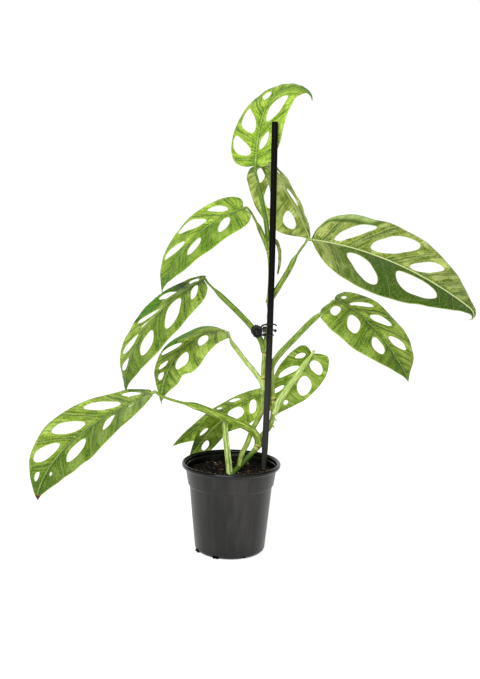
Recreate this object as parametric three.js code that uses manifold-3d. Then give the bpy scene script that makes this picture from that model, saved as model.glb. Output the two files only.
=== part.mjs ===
// A swiss cheese vine (Monstera adansonii) clipped to a stake in a nursery pot.
// Millimetres, +Z up. The origin is the centre of the pot's underside, and -Y is the plant's front.
import * as THREE from 'three';
import { mergeVertices } from 'three/addons/utils/BufferGeometryUtils.js';
import Module from 'manifold-3d';

const wasm = await Module();
wasm.setup();

// ---- Driving dimensions ----------------------------------------------------------------------

const GAP = 0.3; // clearance between pieces that touch in the real plant

const POT = {
  height: 110,
  rimRadius: 60,
  rimDepth: 5.5, // the rolled lip
  neckRadius: 54.3, // just under the lip
  collarRadius: 52, // lower edge of the collar
  collarHeight: 79.5,
  stepRadius: 50, // the wall under the collar's step
  stepHeight: 77.5,
  footRadius: 43,
  footRound: 6,
  wall: 1.3,
  floor: 1.8,
  segments: 36,
  drains: 8,
  drainWidth: 7,
  drainHeight: 4.5,
  drainInner: 37.5,
};

const SOIL = { top: 97, clearance: 0.4, rings: 4, relief: 0.9 };

const STAKE = {
  radius: 3.8, // across the corners of its eight sides
  tip: 1.2,
  route: [[39.5, 10, 52], [40, 10, 75], [40, 10, 97], [41, 10, 135], [42, 10, 185], [43, 10, 246],
    [43.4, 10, 307], [43.6, 10, 367], [43.2, 10, 460], [43, 10, 516]],
  taperEnd: 125, // the point grows to full width at this height
};

const STEM_RADIUS = 3.1;
const NODE_SWELL = 0.8; // how far a node ring stands out
const NODE_WIDTH = 5;

// The lower stem rises out of the soil and passes behind the stake.
const LOWER_STEM = {
  name: 'stem_lower',
  route: [[-6, -12, 84], [2, -8, 97], [11, 0, 105], [23, 6, 117], [31, 10, 126], [35, 14, 136],
    [39.5, 18, 142], [45, 19.5, 147], [47.5, 19.5, 153], [49.5, 19.5, 161], [50, 19.5, 172],
    [49.4, 19.5, 185], [48, 19.5, 198], [47, 19.5, 214], [47, 19.5, 231]],
  steps: 24,
  nodes: [[31, 10, 126], [49.4, 19.5, 184], [47, 19.5, 227]],
};

// The upper vine starts as a branch of the lower stem and climbs the stake to the top leaves.
const UPPER_STEM = {
  name: 'stem_upper',
  route: [[9.5, -2, 104.5], [13, 3, 119], [19.5, 9, 132], [25, 14, 147], [31, 17, 158], [35.5, 19, 168],
    [38, 19, 186], [38.3, 19, 196], [37.6, 19, 210], [37, 19, 220.5], [37.6, 19, 233], [38.4, 19, 243],
    [38.6, 19, 253], [40, 19, 268], [41.8, 19, 285], [41.5, 19, 306], [42.6, 19, 325], [42.6, 19, 341],
    [41, 19, 364], [38.5, 19, 377]],
  steps: 31,
  nodes: [[37.6, 19, 210], [38.4, 19, 242], [41.8, 19, 286], [41.5, 19, 306], [41, 19, 363]],
};

const AERIAL_ROOT = {
  name: 'aerial_root',
  route: [[42, 19, 374], [47, 18, 378], [52, 17, 368], [53, 16, 353], [51, 16, 337]],
  radius: 1.7,
  tip: 0.8,
};

// Short root buds under the nodes of the lower stem: place and direction.
const ROOT_BUDS = [
  { at: [49.5, 19.5, 160], towards: [1, -0.3, -0.1] },
  { at: [47.5, 19.5, 153], towards: [0.9, -0.6, -0.5] },
];

const BLADE = {
  thickness: 0.8,
  ribBase: 1.5, // half width of the midrib's strip at the base and at the tip
  ribTip: 0.4,
  ribDrop: 1.1, // how far the midrib stands out of the underside
  hookStart: 0.9, // the drip tip turns down from here on
  acrossSteps: 4, // steps along a side vein
  alongSteps: 3, // steps along the margin of one band
  roundness: 2.5, // superellipse power of a hole
};

// Leaves, numbered from the lowest left one. All angles are degrees.
// turn: compass heading of the midrib at its base (0 = +X, 90 = +Y), sweep: its change to the tip.
// rise: climb of the midrib at its base, droop: how much it falls to the tip, by the power bend.
// hook: turn-down of the drip tip. roll and twist: bank of the blade about its midrib.
// fold, open, curl: lift of each half at its base, its change to the tip, and its edge curl.
// back, lean: slope of the side veins at the base and further on. blunt, taper: outline powers.
// Each hole is [centre, half width, inner end, outer end, slant] as shares of the blade.
const LEAVES = [
  {
    name: 'leaf_01', base: [-97, -15, 195],
    length: 192, left: 60, right: 60, back: 0.1, blunt: 0.25, taper: 0.9, leanLeft: 0.4, leanRight: 0.85,
    turn: 188, sweep: 4, rise: -25, droop: 53, bend: 1.9, hook: 20, roll: -12, twist: -37,
    foldLeft: 17, openLeft: -6, curlLeft: -5, foldRight: -13, openRight: 11, curlRight: 0,
    holesLeft: [[0.095, 0.02, 0.75, 0.9, 0], [0.27, 0.033, 0.15, 0.53, 0.02],
      [0.53, 0.09, 0.24, 0.64, 0.02], [0.79, 0.012, 0.25, 0.42, 0]],
    holesRight: [[0.075, 0.025, 0.35, 0.8, 0.02], [0.21, 0.05, 0.15, 0.8, 0.03],
      [0.44, 0.06, 0.14, 0.79, 0], [0.655, 0.07, 0.2, 0.86, 0.03], [0.845, 0.035, 0.38, 0.68, 0.01]],
    petiole: {
      route: [[33.5, 14, 127], [31.5, 9.5, 137.5], [25.5, 5, 147], [14.5, 3, 154], [1.5, 1, 159.5],
        [-15.5, -2, 167], [-31.5, -5, 174], [-48, -8, 180], [-67.5, -10.5, 185.5], [-78, -12, 189],
        [-87, -13.5, 193]],
      sheath: 0.72, wide: 4, slim: 1.6, knee: 5,
    },
  },
  {
    name: 'leaf_02', base: [-38, 8, 330],
    length: 178, left: 59, right: 60, back: 0.15, blunt: 0.3, taper: 0.95, leanLeft: 0.5, leanRight: 1,
    turn: 178, sweep: -4, rise: -31, droop: 60, bend: 1.35, hook: 20, roll: -24, twist: -17,
    foldLeft: 3, openLeft: 4, curlLeft: -12, foldRight: -24, openRight: 5, curlRight: 19,
    holesLeft: [[0.075, 0.025, 0.06, 0.55, 0.02], [0.235, 0.065, 0.08, 0.74, 0.02],
      [0.515, 0.095, 0.24, 0.71, 0]],
    holesRight: [[0.05, 0.02, 0.35, 0.8, 0], [0.16, 0.028, 0.4, 0.86, 0], [0.325, 0.03, 0.16, 0.83, 0.01],
      [0.42, 0.014, 0.2, 0.45, 0], [0.545, 0.055, 0.25, 0.89, 0], [0.745, 0.05, 0.25, 0.89, -0.02]],
    petiole: {
      route: [[37.5, 19, 243], [34, 20, 254], [26.5, 21, 266], [19, 21, 275], [7, 20, 287.5],
        [-5.5, 18, 299.5], [-17.5, 15, 311], [-25, 13, 318.5], [-32, 10, 325.5]],
      sheath: 0.82, wide: 3.1, slim: 1.4, knee: 2,
    },
  },
  {
    name: 'leaf_03', base: [-10, 22, 266],
    length: 133, left: 45, right: 45, back: 0.2, blunt: 0.25, taper: 1.2, leanLeft: 0.65, leanRight: 0.85,
    turn: 189, sweep: 27, rise: 18, droop: 106, bend: 0.65, hook: 20, roll: -15, twist: -18,
    foldLeft: 9, openLeft: -14, curlLeft: 0, foldRight: -16, openRight: -7, curlRight: -2,
    holesLeft: [[0.21, 0.05, 0.08, 0.52, -0.02], [0.49, 0.1, 0.19, 0.63, 0]],
    holesRight: [[0.35, 0.045, 0.3, 0.92, 0], [0.565, 0.035, 0.32, 0.76, 0],
      [0.705, 0.045, 0.26, 0.75, -0.02]],
    petiole: {
      route: [[38, 19, 196], [36, 19, 203], [33.5, 19.5, 207.5], [29, 20, 213.5], [24, 20.5, 220],
        [13.5, 21, 232], [4.5, 22, 243.5], [-1.5, 22, 251], [-5, 22.5, 259]],
      sheath: 0.85, wide: 2.8, slim: 1.4, knee: 3,
    },
  },
  {
    name: 'leaf_04', base: [8, 12, 415],
    length: 145, left: 53, right: 54, back: 0.25, blunt: 0.3, taper: 0.9, leanLeft: 0.6, leanRight: 0.95,
    turn: 190, sweep: -11, rise: -14, droop: 58, bend: 0.8, hook: 20, roll: -29, twist: 4,
    foldLeft: 10, openLeft: 4, curlLeft: -13, foldRight: -2, openRight: -3, curlRight: -7,
    holesLeft: [[0.17, 0.04, 0.13, 0.64, 0.02], [0.45, 0.075, 0.2, 0.59, 0]],
    holesRight: [[0.115, 0.03, 0.15, 0.7, 0.01], [0.26, 0.055, 0.2, 0.92, -0.03],
      [0.51, 0.065, 0.2, 0.87, -0.02]],
    petiole: {
      route: [[40, 19, 366], [31, 17, 385], [23.5, 14, 400], [17, 12.5, 411]],
      sheath: 0.55, wide: 2.6, slim: 1.4, knee: 4,
    },
  },
  {
    name: 'leaf_05', base: [21.5, 36, 466.3],
    length: 146, left: 49.3, right: 43.3, back: 0.2, blunt: 0.4, taper: 1.05, leanLeft: 0.65, leanRight: 1.2,
    turn: 53, sweep: -55.6, rise: 84, droop: 152.6, bend: 2.7, hook: 20, roll: 5.3, twist: 10.4,
    foldLeft: 15.6, openLeft: -3.9, curlLeft: -38.5, foldRight: 15.4, openRight: -13, curlRight: -25.2,
    holesLeft: [[0.115, 0.045, 0.15, 0.9, 0.02], [0.29, 0.07, 0.1, 0.74, 0],
      [0.535, 0.04, 0.18, 0.5, -0.03]],
    holesRight: [[0.15, 0.04, 0.08, 0.45, 0.01], [0.355, 0.1, 0.18, 0.74, -0.02]],
    petiole: {
      route: [[39, 19, 372], [36.2, 23, 395.9], [31.4, 27.5, 419.1], [26.4, 32, 442.5]],
      sheath: 0.7, wide: 2.6, slim: 1.5, knee: 4,
    },
  },
  {
    name: 'leaf_06', base: [32.6, 55, 470.4],
    length: 113, left: 53, right: 51, back: 0.3, blunt: 0.3, taper: 0.85, leanLeft: 0.5, leanRight: 0.5,
    turn: 16, sweep: 0, rise: -38, droop: 27, bend: 0.55, hook: 20, roll: -14, twist: -3,
    foldLeft: -10, openLeft: -16, curlLeft: -14, foldRight: -14, openRight: -14, curlRight: -7,
    holesLeft: [[0.085, 0.05, 0.24, 0.6, 0.03], [0.28, 0.08, 0.24, 0.73, 0.05],
      [0.65, 0.11, 0.24, 0.7, 0.04]],
    holesRight: [[0.11, 0.02, 0.32, 0.7, 0], [0.4, 0.09, 0.1, 0.56, 0]],
    petiole: {
      route: [[42, 19, 366], [43, 26, 390], [43, 36, 420], [39.5, 46, 446], [32, 51, 462]],
      sheath: 0.5, wide: 2.4, slim: 1.4, knee: 6,
    },
  },
  {
    name: 'leaf_07', base: [89, 4, 380],
    length: 223, left: 84, right: 84, back: -0.2, blunt: 0.29, taper: 1.03, leanLeft: 0.67, leanRight: 0.4,
    turn: -5, sweep: -7, rise: -6, droop: 33, bend: 0.93, hook: 150, roll: 28, twist: -2,
    foldLeft: 6, openLeft: -13, curlLeft: 2, foldRight: 16, openRight: -11, curlRight: -21,
    holesLeft: [[0.135, 0.035, 0.08, 0.79, 0.03], [0.32, 0.07, 0.1, 0.87, 0], [0.545, 0.05, 0.07, 0.8, 0]],
    holesRight: [[0.235, 0.065, 0.19, 0.83, 0.04], [0.56, 0.13, 0.17, 0.78, 0.01]],
    petiole: {
      route: [[40.5, 19, 302], [43.5, 18.5, 307], [50.5, 17, 318.5], [57.5, 15, 331], [64.5, 12.5, 343.5],
        [70, 10, 355.5], [77, 7.5, 368], [81.5, 6, 374.5]],
      sheath: 0.7, wide: 3, slim: 1.4, knee: 4,
    },
  },
  {
    name: 'leaf_08', base: [119, 2, 308],
    length: 134, left: 55, right: 53, back: 0.4, blunt: 0.3, taper: 1.03, leanLeft: 0.85, leanRight: 0.4,
    turn: -29, sweep: 1, rise: 10, droop: 70, bend: 0.35, hook: 20, roll: 22, twist: -2,
    foldLeft: -5, openLeft: -4, curlLeft: -11, foldRight: 12, openRight: -2, curlRight: -25,
    holesLeft: [[0.045, 0.012, 0.25, 0.5, 0], [0.135, 0.022, 0.08, 0.7, 0.02],
      [0.285, 0.05, 0.17, 0.68, -0.03], [0.53, 0.07, 0.22, 0.74, -0.03]],
    holesRight: [[0.1, 0.033, 0.23, 0.63, 0.02], [0.27, 0.06, 0.17, 0.67, 0.03],
      [0.555, 0.08, 0.2, 0.63, 0.02]],
    petiole: {
      route: [[45, 19.5, 223], [50.5, 17, 233], [56.5, 15, 241.5], [68, 12, 255], [79.5, 9, 268],
        [91, 6, 281], [100, 4.5, 289.5], [108, 3.5, 297], [113, 3.5, 302.5]],
      sheath: 0.8, wide: 3.3, slim: 1.5, knee: 2.5,
    },
  },
  {
    name: 'leaf_09', base: [96.8, 34, 239.5],
    length: 95, left: 33, right: 32, back: 0.6, blunt: 0.35, taper: 0.95, leanLeft: 0.85, leanRight: 0.35,
    turn: 154, sweep: 4, rise: -56, droop: 9, bend: 1, hook: 20, roll: 51, twist: -10,
    foldLeft: -5, openLeft: -6, curlLeft: -8, foldRight: -3, openRight: 1, curlRight: -14,
    holesLeft: [[0.085, 0.025, 0.24, 0.5, 0.02], [0.25, 0.045, 0.12, 0.65, 0.03],
      [0.495, 0.05, 0.35, 0.73, 0]],
    holesRight: [[0.145, 0.05, 0.18, 0.7, 0.04], [0.42, 0.11, 0.18, 0.76, 0.05], [0.77, 0.035, 0.1, 0.4, 0]],
    petiole: {
      route: [[50.5, 19.5, 166], [53, 19, 172], [55.5, 18.5, 181], [65, 18, 196], [75, 19, 210],
        [83, 22, 222], [91, 27, 232.5]],
      sheath: 0.85, wide: 3.1, slim: 1.5, knee: 3.5,
    },
  },
  {
    name: 'leaf_10', base: [36.6, 54.5, 184.1],
    length: 140, left: 34, right: 28, back: 0.25, blunt: 0.25, taper: 1, leanLeft: 0.2, leanRight: 0.8,
    turn: 168, sweep: 3, rise: -23, droop: 18, bend: 0.8, hook: 20, roll: -36, twist: -7,
    foldLeft: -8, openLeft: 2, curlLeft: -13, foldRight: -28, openRight: 3, curlRight: 10,
    holesLeft: [[0.11, 0.033, 0.08, 0.67, 0.02], [0.28, 0.08, 0.08, 0.6, -0.02],
      [0.63, 0.045, 0.38, 0.73, 0.02]],
    holesRight: [[0.22, 0.035, 0.37, 0.85, 0.03], [0.365, 0.016, 0.45, 0.8, 0]],
    petiole: {
      route: [[48, 19.5, 172], [42, 26, 178], [38.5, 34, 184], [39, 45, 188]],
      sheath: 0.5, wide: 2.3, slim: 1.4, knee: 4,
    },
  },
  {
    name: 'leaf_11', base: [-12.6, 22, 156.8],
    length: 82, left: 22, right: 23, back: 0.4, blunt: 0.25, taper: 0.9, leanLeft: -0.1, leanRight: 1.2,
    turn: 142, sweep: 8, rise: -38, droop: 22, bend: 0.8, hook: 10, roll: 31, twist: -17,
    foldLeft: -2, openLeft: -24, curlLeft: -5, foldRight: -5, openRight: -10, curlRight: 3,
    holesLeft: [[0.35, 0.075, 0.2, 0.64, 0.1]],
    holesRight: [[0.5, 0.1, 0.22, 0.72, -0.02]],
    petiole: {
      route: [[-2, -12, 84], [-2, -8, 97], [-4.5, -3, 118], [-7.5, 5, 139], [-8.5, 12, 151],
        [-8.7, 16.5, 158.5]],
      sheath: 0.6, wide: 3.5, slim: 1.5, knee: 4,
    },
  },
];

// The spring clip that ties the vine to the stake. Its hinge is upright.
const CLIP = {
  pivot: [36.6, 2.6, 270],
  pinRadius: 0.9,
  pinLength: 12.6,
  knuckleRadius: 2.3,
  frontAngle: 216, // heading of the front pad from the pivot
  rearAngle: 155,
  padReach: 10.3, // pivot to pad centre
  padRadius: 6.8,
  padBeads: 14,
  beadDepth: 0.55,
  padThickness: 2.2,
  armThickness: 1.8,
  clawRadius: 0.9,
  ballRadius: 1.7,
  frontKnuckles: [[264.2, 267.2], [272.8, 275.8]],
  rearKnuckle: [269.9, 272.4],
  topClaw: [[31.6, -1.4, 274.4], [33.6, -0.5, 277.2], [36.8, 1.1, 278.2], [41, 3.4, 278.6],
    [45, 5, 278.5], [49, 7.8, 277.8], [51.4, 11, 275.6]],
  bottomClaw: [[31.6, -1.4, 266.4], [35, 0.1, 265.6], [40, 3, 265.4], [44.6, 4.9, 265.2],
    [48.4, 7.2, 265.2]],
  rearClaw: [[36.2, 5, 271.2], [33.8, 8.6, 271.4], [32.6, 15, 271.4], [35.4, 21.8, 271], [41, 23.3, 270.4],
    [46.2, 21.6, 269.8], [50, 17, 269.2]],
  spring: { coilRadius: 1.5, wireRadius: 0.28, turns: 2.5, from: 267.75, to: 269.35 },
};

// ---- Finishes --------------------------------------------------------------------------------

const finish = (colour, roughness) => new THREE.MeshStandardMaterial({
  color: colour, roughness, metalness: 0, side: THREE.FrontSide,
});
const POT_PLASTIC = finish(0x3a3938, 0.35);
const BLACK_PLASTIC = finish(0x1b1b1c, 0.45);
const EARTH = finish(0x2a1d14, 0.95);
const LEAF = finish(0x6f9f35, 0.45);
const PETIOLE = finish(0xa9c964, 0.5);
const STEM = finish(0x7f9c45, 0.5);
const BARK = finish(0x6a6a2c, 0.6);
const STEEL = new THREE.MeshStandardMaterial({ color: 0xb8b8b8, roughness: 0.3, metalness: 1 });

// ---- Shared geometry helpers -----------------------------------------------------------------

const radians = THREE.MathUtils.degToRad;
const point = (xyz) => new THREE.Vector3(...xyz);
const smooth = (points) => new THREE.CatmullRomCurve3(points.map(point), false, 'centripetal');

// A route with both of its ends moved outwards.
function lengthened(route, extra) {
  const points = route.map(point);
  const count = points.length;
  const first = points[0].clone().sub(points[1]).setLength(extra);
  const last = points[count - 1].clone().sub(points[count - 2]).setLength(extra);
  points[0].add(first);
  points[count - 1].add(last);
  return points.map((place) => place.toArray());
}

// Shares 0..1 for the rings of a tube; a crowding over 1 sets them closer near the end.
function ringShares(steps, crowding) {
  return Array.from({ length: steps + 1 }, (_, step) => 1 - (1 - step / steps) ** crowding);
}

// A closed tube along a curve. radiusAt gives its radius at a share 0..1 of the curve's length.
function sweep(curve, shares, sides, radiusAt) {
  const positions = [];
  const index = [];
  const normal = new THREE.Vector3(0.3, 1, 0.2);
  for (const share of shares) {
    const tangent = curve.getTangentAt(share);
    normal.addScaledVector(tangent, -normal.dot(tangent)).normalize();
    const binormal = tangent.clone().cross(normal);
    const centre = curve.getPointAt(share);
    const radius = radiusAt(share, centre);
    for (let side = 0; side < sides; side++) {
      const angle = (side / sides) * 2 * Math.PI;
      const spot = centre.clone()
        .addScaledVector(normal, Math.cos(angle) * radius)
        .addScaledVector(binormal, Math.sin(angle) * radius);
      positions.push(spot.x, spot.y, spot.z);
    }
  }
  const last = (shares.length - 1) * sides;
  for (let row = 0; row < last; row += sides) {
    for (let side = 0; side < sides; side++) {
      const a = row + side;
      const b = row + ((side + 1) % sides);
      index.push(a, b, b + sides, a, b + sides, a + sides);
    }
  }
  for (let side = 1; side < sides - 1; side++) {
    index.push(0, side + 1, side);
    index.push(last, last + side, last + side + 1);
  }
  const geometry = new THREE.BufferGeometry();
  geometry.setAttribute('position', new THREE.Float32BufferAttribute(positions, 3));
  geometry.setIndex(index);
  return geometry;
}

// Turns a closed geometry into a solid that can be cut and joined.
function solid(geometry) {
  const bare = geometry.clone();
  bare.deleteAttribute('normal');
  bare.deleteAttribute('uv');
  const merged = mergeVertices(bare, 1e-4);
  return new wasm.Manifold(new wasm.Mesh({
    numProp: 3,
    vertProperties: new Float32Array(merged.attributes.position.array),
    triVerts: new Uint32Array(merged.index.array),
  }));
}

// Turns the largest body of a solid back into a geometry.
function geometryOf(body) {
  const parts = body.decompose();
  parts.sort((one, two) => two.volume() - one.volume());
  const mesh = parts[0].getMesh();
  const geometry = new THREE.BufferGeometry();
  geometry.setAttribute('position', new THREE.BufferAttribute(new Float32Array(mesh.vertProperties), 3));
  geometry.setIndex(new THREE.BufferAttribute(new Uint32Array(mesh.triVerts), 1));
  return geometry;
}

const cutAll = (body, tools) => tools.reduce((rest, tool) => rest.subtract(tool), body);
const joinAll = (bodies) => bodies.reduce((whole, body) => whole.add(body));

function box(width, depth, height) {
  return new THREE.BoxGeometry(width, depth, height);
}

// An upright cylinder between two heights.
function upright(radius, from, to, x, y, segments) {
  const geometry = new THREE.CylinderGeometry(radius, radius, to - from, segments);
  geometry.rotateX(Math.PI / 2);
  geometry.translate(x, y, (from + to) / 2);
  return geometry;
}

// ---- Pot, soil and stake ---------------------------------------------------------------------

// Points on the round between a flat floor and a leaning wall.
function footArc(radius, round, bottom, steps) {
  const arc = [];
  for (let step = 0; step <= steps; step++) {
    const angle = (step / steps) * Math.PI / 2;
    arc.push([radius - round + Math.sin(angle) * round, bottom + round - Math.cos(angle) * round]);
  }
  return arc;
}

// The inner wall, from the centre of the floor up to the mouth, moved inwards by an offset.
function innerWall(offset) {
  const inset = POT.wall + offset;
  return [
    [0, POT.floor + offset],
    ...footArc(POT.footRadius - inset, POT.footRound - 1, POT.floor + offset, 2),
    [POT.stepRadius - inset, POT.stepHeight],
    [POT.collarRadius - inset, POT.collarHeight],
  ];
}

function potGeometry() {
  const lip = POT.height - POT.rimDepth;
  const outer = [
    [0, 0],
    ...footArc(POT.footRadius, POT.footRound, 0, 2),
    [POT.stepRadius, POT.stepHeight],
    [POT.collarRadius, POT.collarHeight - 0.5],
    [POT.neckRadius, lip - 0.8],
    [POT.rimRadius - 1.2, lip],
    [POT.rimRadius, lip + 1.2],
    [POT.rimRadius, POT.height - 1.4],
    [POT.rimRadius - 1.4, POT.height],
    [POT.rimRadius - 3.4, POT.height],
    [POT.neckRadius - POT.wall, POT.height - 2.4],
  ];
  const profile = [...outer, ...innerWall(0).reverse()].map(([x, y]) => new THREE.Vector2(x, y));
  const shell = new THREE.LatheGeometry(profile, POT.segments);
  shell.rotateX(Math.PI / 2);
  const drains = [];
  for (let slot = 0; slot < POT.drains; slot++) {
    const reach = POT.footRadius + 4 - POT.drainInner;
    const cutter = box(reach, POT.drainWidth, POT.drainHeight + 2);
    cutter.translate(POT.drainInner + reach / 2, 0, POT.drainHeight / 2 - 1);
    cutter.rotateZ(((slot + 0.5) / POT.drains) * 2 * Math.PI);
    drains.push(solid(cutter));
  }
  return geometryOf(cutAll(solid(shell), drains));
}

// A block of soil that fills the pot, with a slightly uneven top.
function soilBody() {
  const wall = innerWall(SOIL.clearance);
  const [collarRadius, collarHeight] = wall[wall.length - 1];
  const lip = POT.height - POT.rimDepth;
  const slope = (POT.neckRadius - POT.collarRadius) / (lip - POT.collarHeight);
  const edge = collarRadius + (SOIL.top - collarHeight) * slope;
  const surface = [];
  for (let ring = 0; ring <= SOIL.rings; ring++) {
    surface.push([edge * (1 - ring / SOIL.rings), SOIL.top]);
  }
  const profile = [...wall, ...surface].map(([x, y]) => new THREE.Vector2(x, y));
  const block = new THREE.LatheGeometry(profile, POT.segments);
  block.rotateX(Math.PI / 2);
  const places = block.attributes.position;
  for (let i = 0; i < places.count; i++) {
    const x = places.getX(i);
    const y = places.getY(i);
    const z = places.getZ(i);
    const inside = Math.hypot(x, y) < edge - 1;
    if (z > SOIL.top - 0.01 && inside) {
      places.setZ(i, z + SOIL.relief * Math.sin(x * 0.21 + 1) * Math.cos(y * 0.17));
    }
  }
  return solid(block);
}

function stakeGeometry(extra) {
  const grown = (share, centre) => {
    const start = STAKE.route[0][2];
    const taper = Math.min(1, (centre.z - start) / (STAKE.taperEnd - start));
    return STAKE.tip + (STAKE.radius - STAKE.tip) * taper + extra;
  };
  return sweep(smooth(lengthened(STAKE.route, extra)), ringShares(12, 1), 8, grown);
}

// ---- Stems and petioles ----------------------------------------------------------------------

// A stem's radius with a swelling at each node; extra makes it fatter for cutting clearances.
function stemGeometry(stem, extra) {
  const curve = smooth(lengthened(stem.route, extra));
  const rings = stem.nodes.map(point);
  const radiusAt = (share, centre) => {
    const swell = rings.reduce((sum, ring) => {
      const distance = ring.distanceTo(centre) / NODE_WIDTH;
      return sum + NODE_SWELL * Math.exp(-distance * distance);
    }, 0);
    return STEM_RADIUS + swell + extra;
  };
  return sweep(curve, ringShares(stem.steps, 1), 9, radiusAt);
}

function rootBud({ at, towards }) {
  const bud = new THREE.CylinderGeometry(0.5, 1.3, 6, 6);
  bud.rotateX(Math.PI / 2);
  const direction = point(towards).normalize();
  const turned = new THREE.Quaternion().setFromUnitVectors(new THREE.Vector3(0, 0, 1), direction);
  bud.applyQuaternion(turned);
  const place = point(at).addScaledVector(direction, 3);
  bud.translate(place.x, place.y, place.z);
  return solid(bud);
}

// A petiole: a wide sheath that clasps the stem, then a slim stalk that bends into the midrib.
function petioleGeometry(leaf, extra) {
  const { route, sheath, wide, slim, knee } = leaf.petiole;
  const heading = bladeFrame(leaf, 0).tangent;
  const base = point(leaf.base);
  const bend = base.clone().addScaledVector(heading, -knee);
  const straight = base.clone().addScaledVector(heading, -knee / 2);
  const end = base.clone().addScaledVector(heading, -GAP);
  const tip = [bend, straight, end].map((place) => place.toArray());
  const curve = smooth(lengthened([...route, ...tip], extra));
  const radiusAt = (share) => {
    const slimming = THREE.MathUtils.smoothstep(share, sheath - 0.12, sheath + 0.05);
    const along = wide * (1 - 0.22 * share);
    return along + (slim - along) * slimming + extra;
  };
  const steps = Math.max(9, Math.round(curve.getLength() / 13));
  return sweep(curve, ringShares(steps, 1.6), 7, radiusAt);
}

// ---- Leaf blades -----------------------------------------------------------------------------

const SPINE_STEPS = 48;

function headingAt(leaf, share) {
  const hooked = Math.max(0, (share - BLADE.hookStart) / (1 - BLADE.hookStart)) ** 2;
  const climb = radians(leaf.rise - leaf.droop * share ** leaf.bend - leaf.hook * hooked);
  const turn = radians(leaf.turn + leaf.sweep * share);
  return { climb, turn };
}

// The midrib as a chain of points, summed up from its heading.
function bladeSpine(leaf) {
  if (!leaf.spine) {
    leaf.spine = [point(leaf.base)];
    for (let step = 0; step < SPINE_STEPS; step++) {
      const { climb, turn } = headingAt(leaf, (step + 0.5) / SPINE_STEPS);
      const ahead = new THREE.Vector3(
        Math.cos(climb) * Math.cos(turn),
        Math.cos(climb) * Math.sin(turn),
        Math.sin(climb),
      );
      leaf.spine.push(leaf.spine[step].clone().addScaledVector(ahead, leaf.length / SPINE_STEPS));
    }
  }
  return leaf.spine;
}

// The midrib's place and directions: along it, to its left, and out of the upper face.
function bladeFrame(leaf, share) {
  const spine = bladeSpine(leaf);
  const { climb, turn } = headingAt(leaf, share);
  const tangent = new THREE.Vector3(
    Math.cos(climb) * Math.cos(turn), Math.cos(climb) * Math.sin(turn), Math.sin(climb),
  );
  const level = new THREE.Vector3(-Math.sin(turn), Math.cos(turn), 0);
  const upper = new THREE.Vector3(
    -Math.sin(climb) * Math.cos(turn), -Math.sin(climb) * Math.sin(turn), Math.cos(climb),
  );
  const bank = radians(leaf.roll + leaf.twist * share);
  const across = level.clone().multiplyScalar(Math.cos(bank)).addScaledVector(upper, Math.sin(bank));
  const normal = upper.clone().multiplyScalar(Math.cos(bank)).addScaledVector(level, -Math.sin(bank));
  const exact = share * SPINE_STEPS;
  const step = Math.min(SPINE_STEPS - 1, Math.floor(exact));
  const centre = spine[step].clone().lerp(spine[step + 1], exact - step);
  return { centre, tangent, across, normal };
}

const ribWidth = (share) => BLADE.ribBase + (BLADE.ribTip - BLADE.ribBase) * share;

// Length along and width across of the margin at the outer end of the side vein that starts at u.
function marginAt(leaf, side, u) {
  const width = side > 0 ? leaf.left : leaf.right;
  const lean = side > 0 ? leaf.leanLeft : leaf.leanRight;
  const peakAt = leaf.blunt / (leaf.blunt + leaf.taper);
  const peak = peakAt ** leaf.blunt * (1 - peakAt) ** leaf.taper;
  const reach = width * u ** leaf.blunt * (1 - u) ** leaf.taper / peak;
  const slope = lean * (1 - u ** 6) - (lean + leaf.back) * (1 - u) ** 6;
  return { along: leaf.length * u + slope * reach, reach: Math.max(reach, ribWidth(u)) };
}

// A point of the blade: u is where its side vein leaves the midrib, q how far out it lies.
// side is 1 for the left half, -1 for the right half and 0 for the midrib itself.
function bladePoint(leaf, side, u, q) {
  const start = leaf.length * u;
  const margin = marginAt(leaf, side, u);
  const inner = ribWidth(u);
  const along = start + (margin.along - start) * q;
  const out = side === 0 ? 0 : inner + (margin.reach - inner) * q;
  const share = THREE.MathUtils.clamp(along / leaf.length, 0, 1);
  const frame = bladeFrame(leaf, share);
  const [width, fold, open, curl] = side > 0
    ? [leaf.left, leaf.foldLeft, leaf.openLeft, leaf.curlLeft]
    : [leaf.right, leaf.foldRight, leaf.openRight, leaf.curlRight];
  const lift = radians(fold + open * share);
  const bend = radians(curl) * out / width;
  const chord = Math.abs(bend) > 1e-6 ? out * Math.sin(bend / 2) / (bend / 2) : out;
  const place = frame.centre.clone()
    .addScaledVector(frame.tangent, along - share * leaf.length)
    .addScaledVector(frame.across, side * chord * Math.cos(lift + bend / 2))
    .addScaledVector(frame.normal, chord * Math.sin(lift + bend / 2));
  const tilt = side === 0 ? 0 : lift + bend;
  const facing = frame.normal.clone().multiplyScalar(Math.cos(tilt))
    .addScaledVector(frame.across, -side * Math.sin(tilt));
  return { place, facing, drop: side === 0 ? BLADE.ribDrop : 0 };
}

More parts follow.
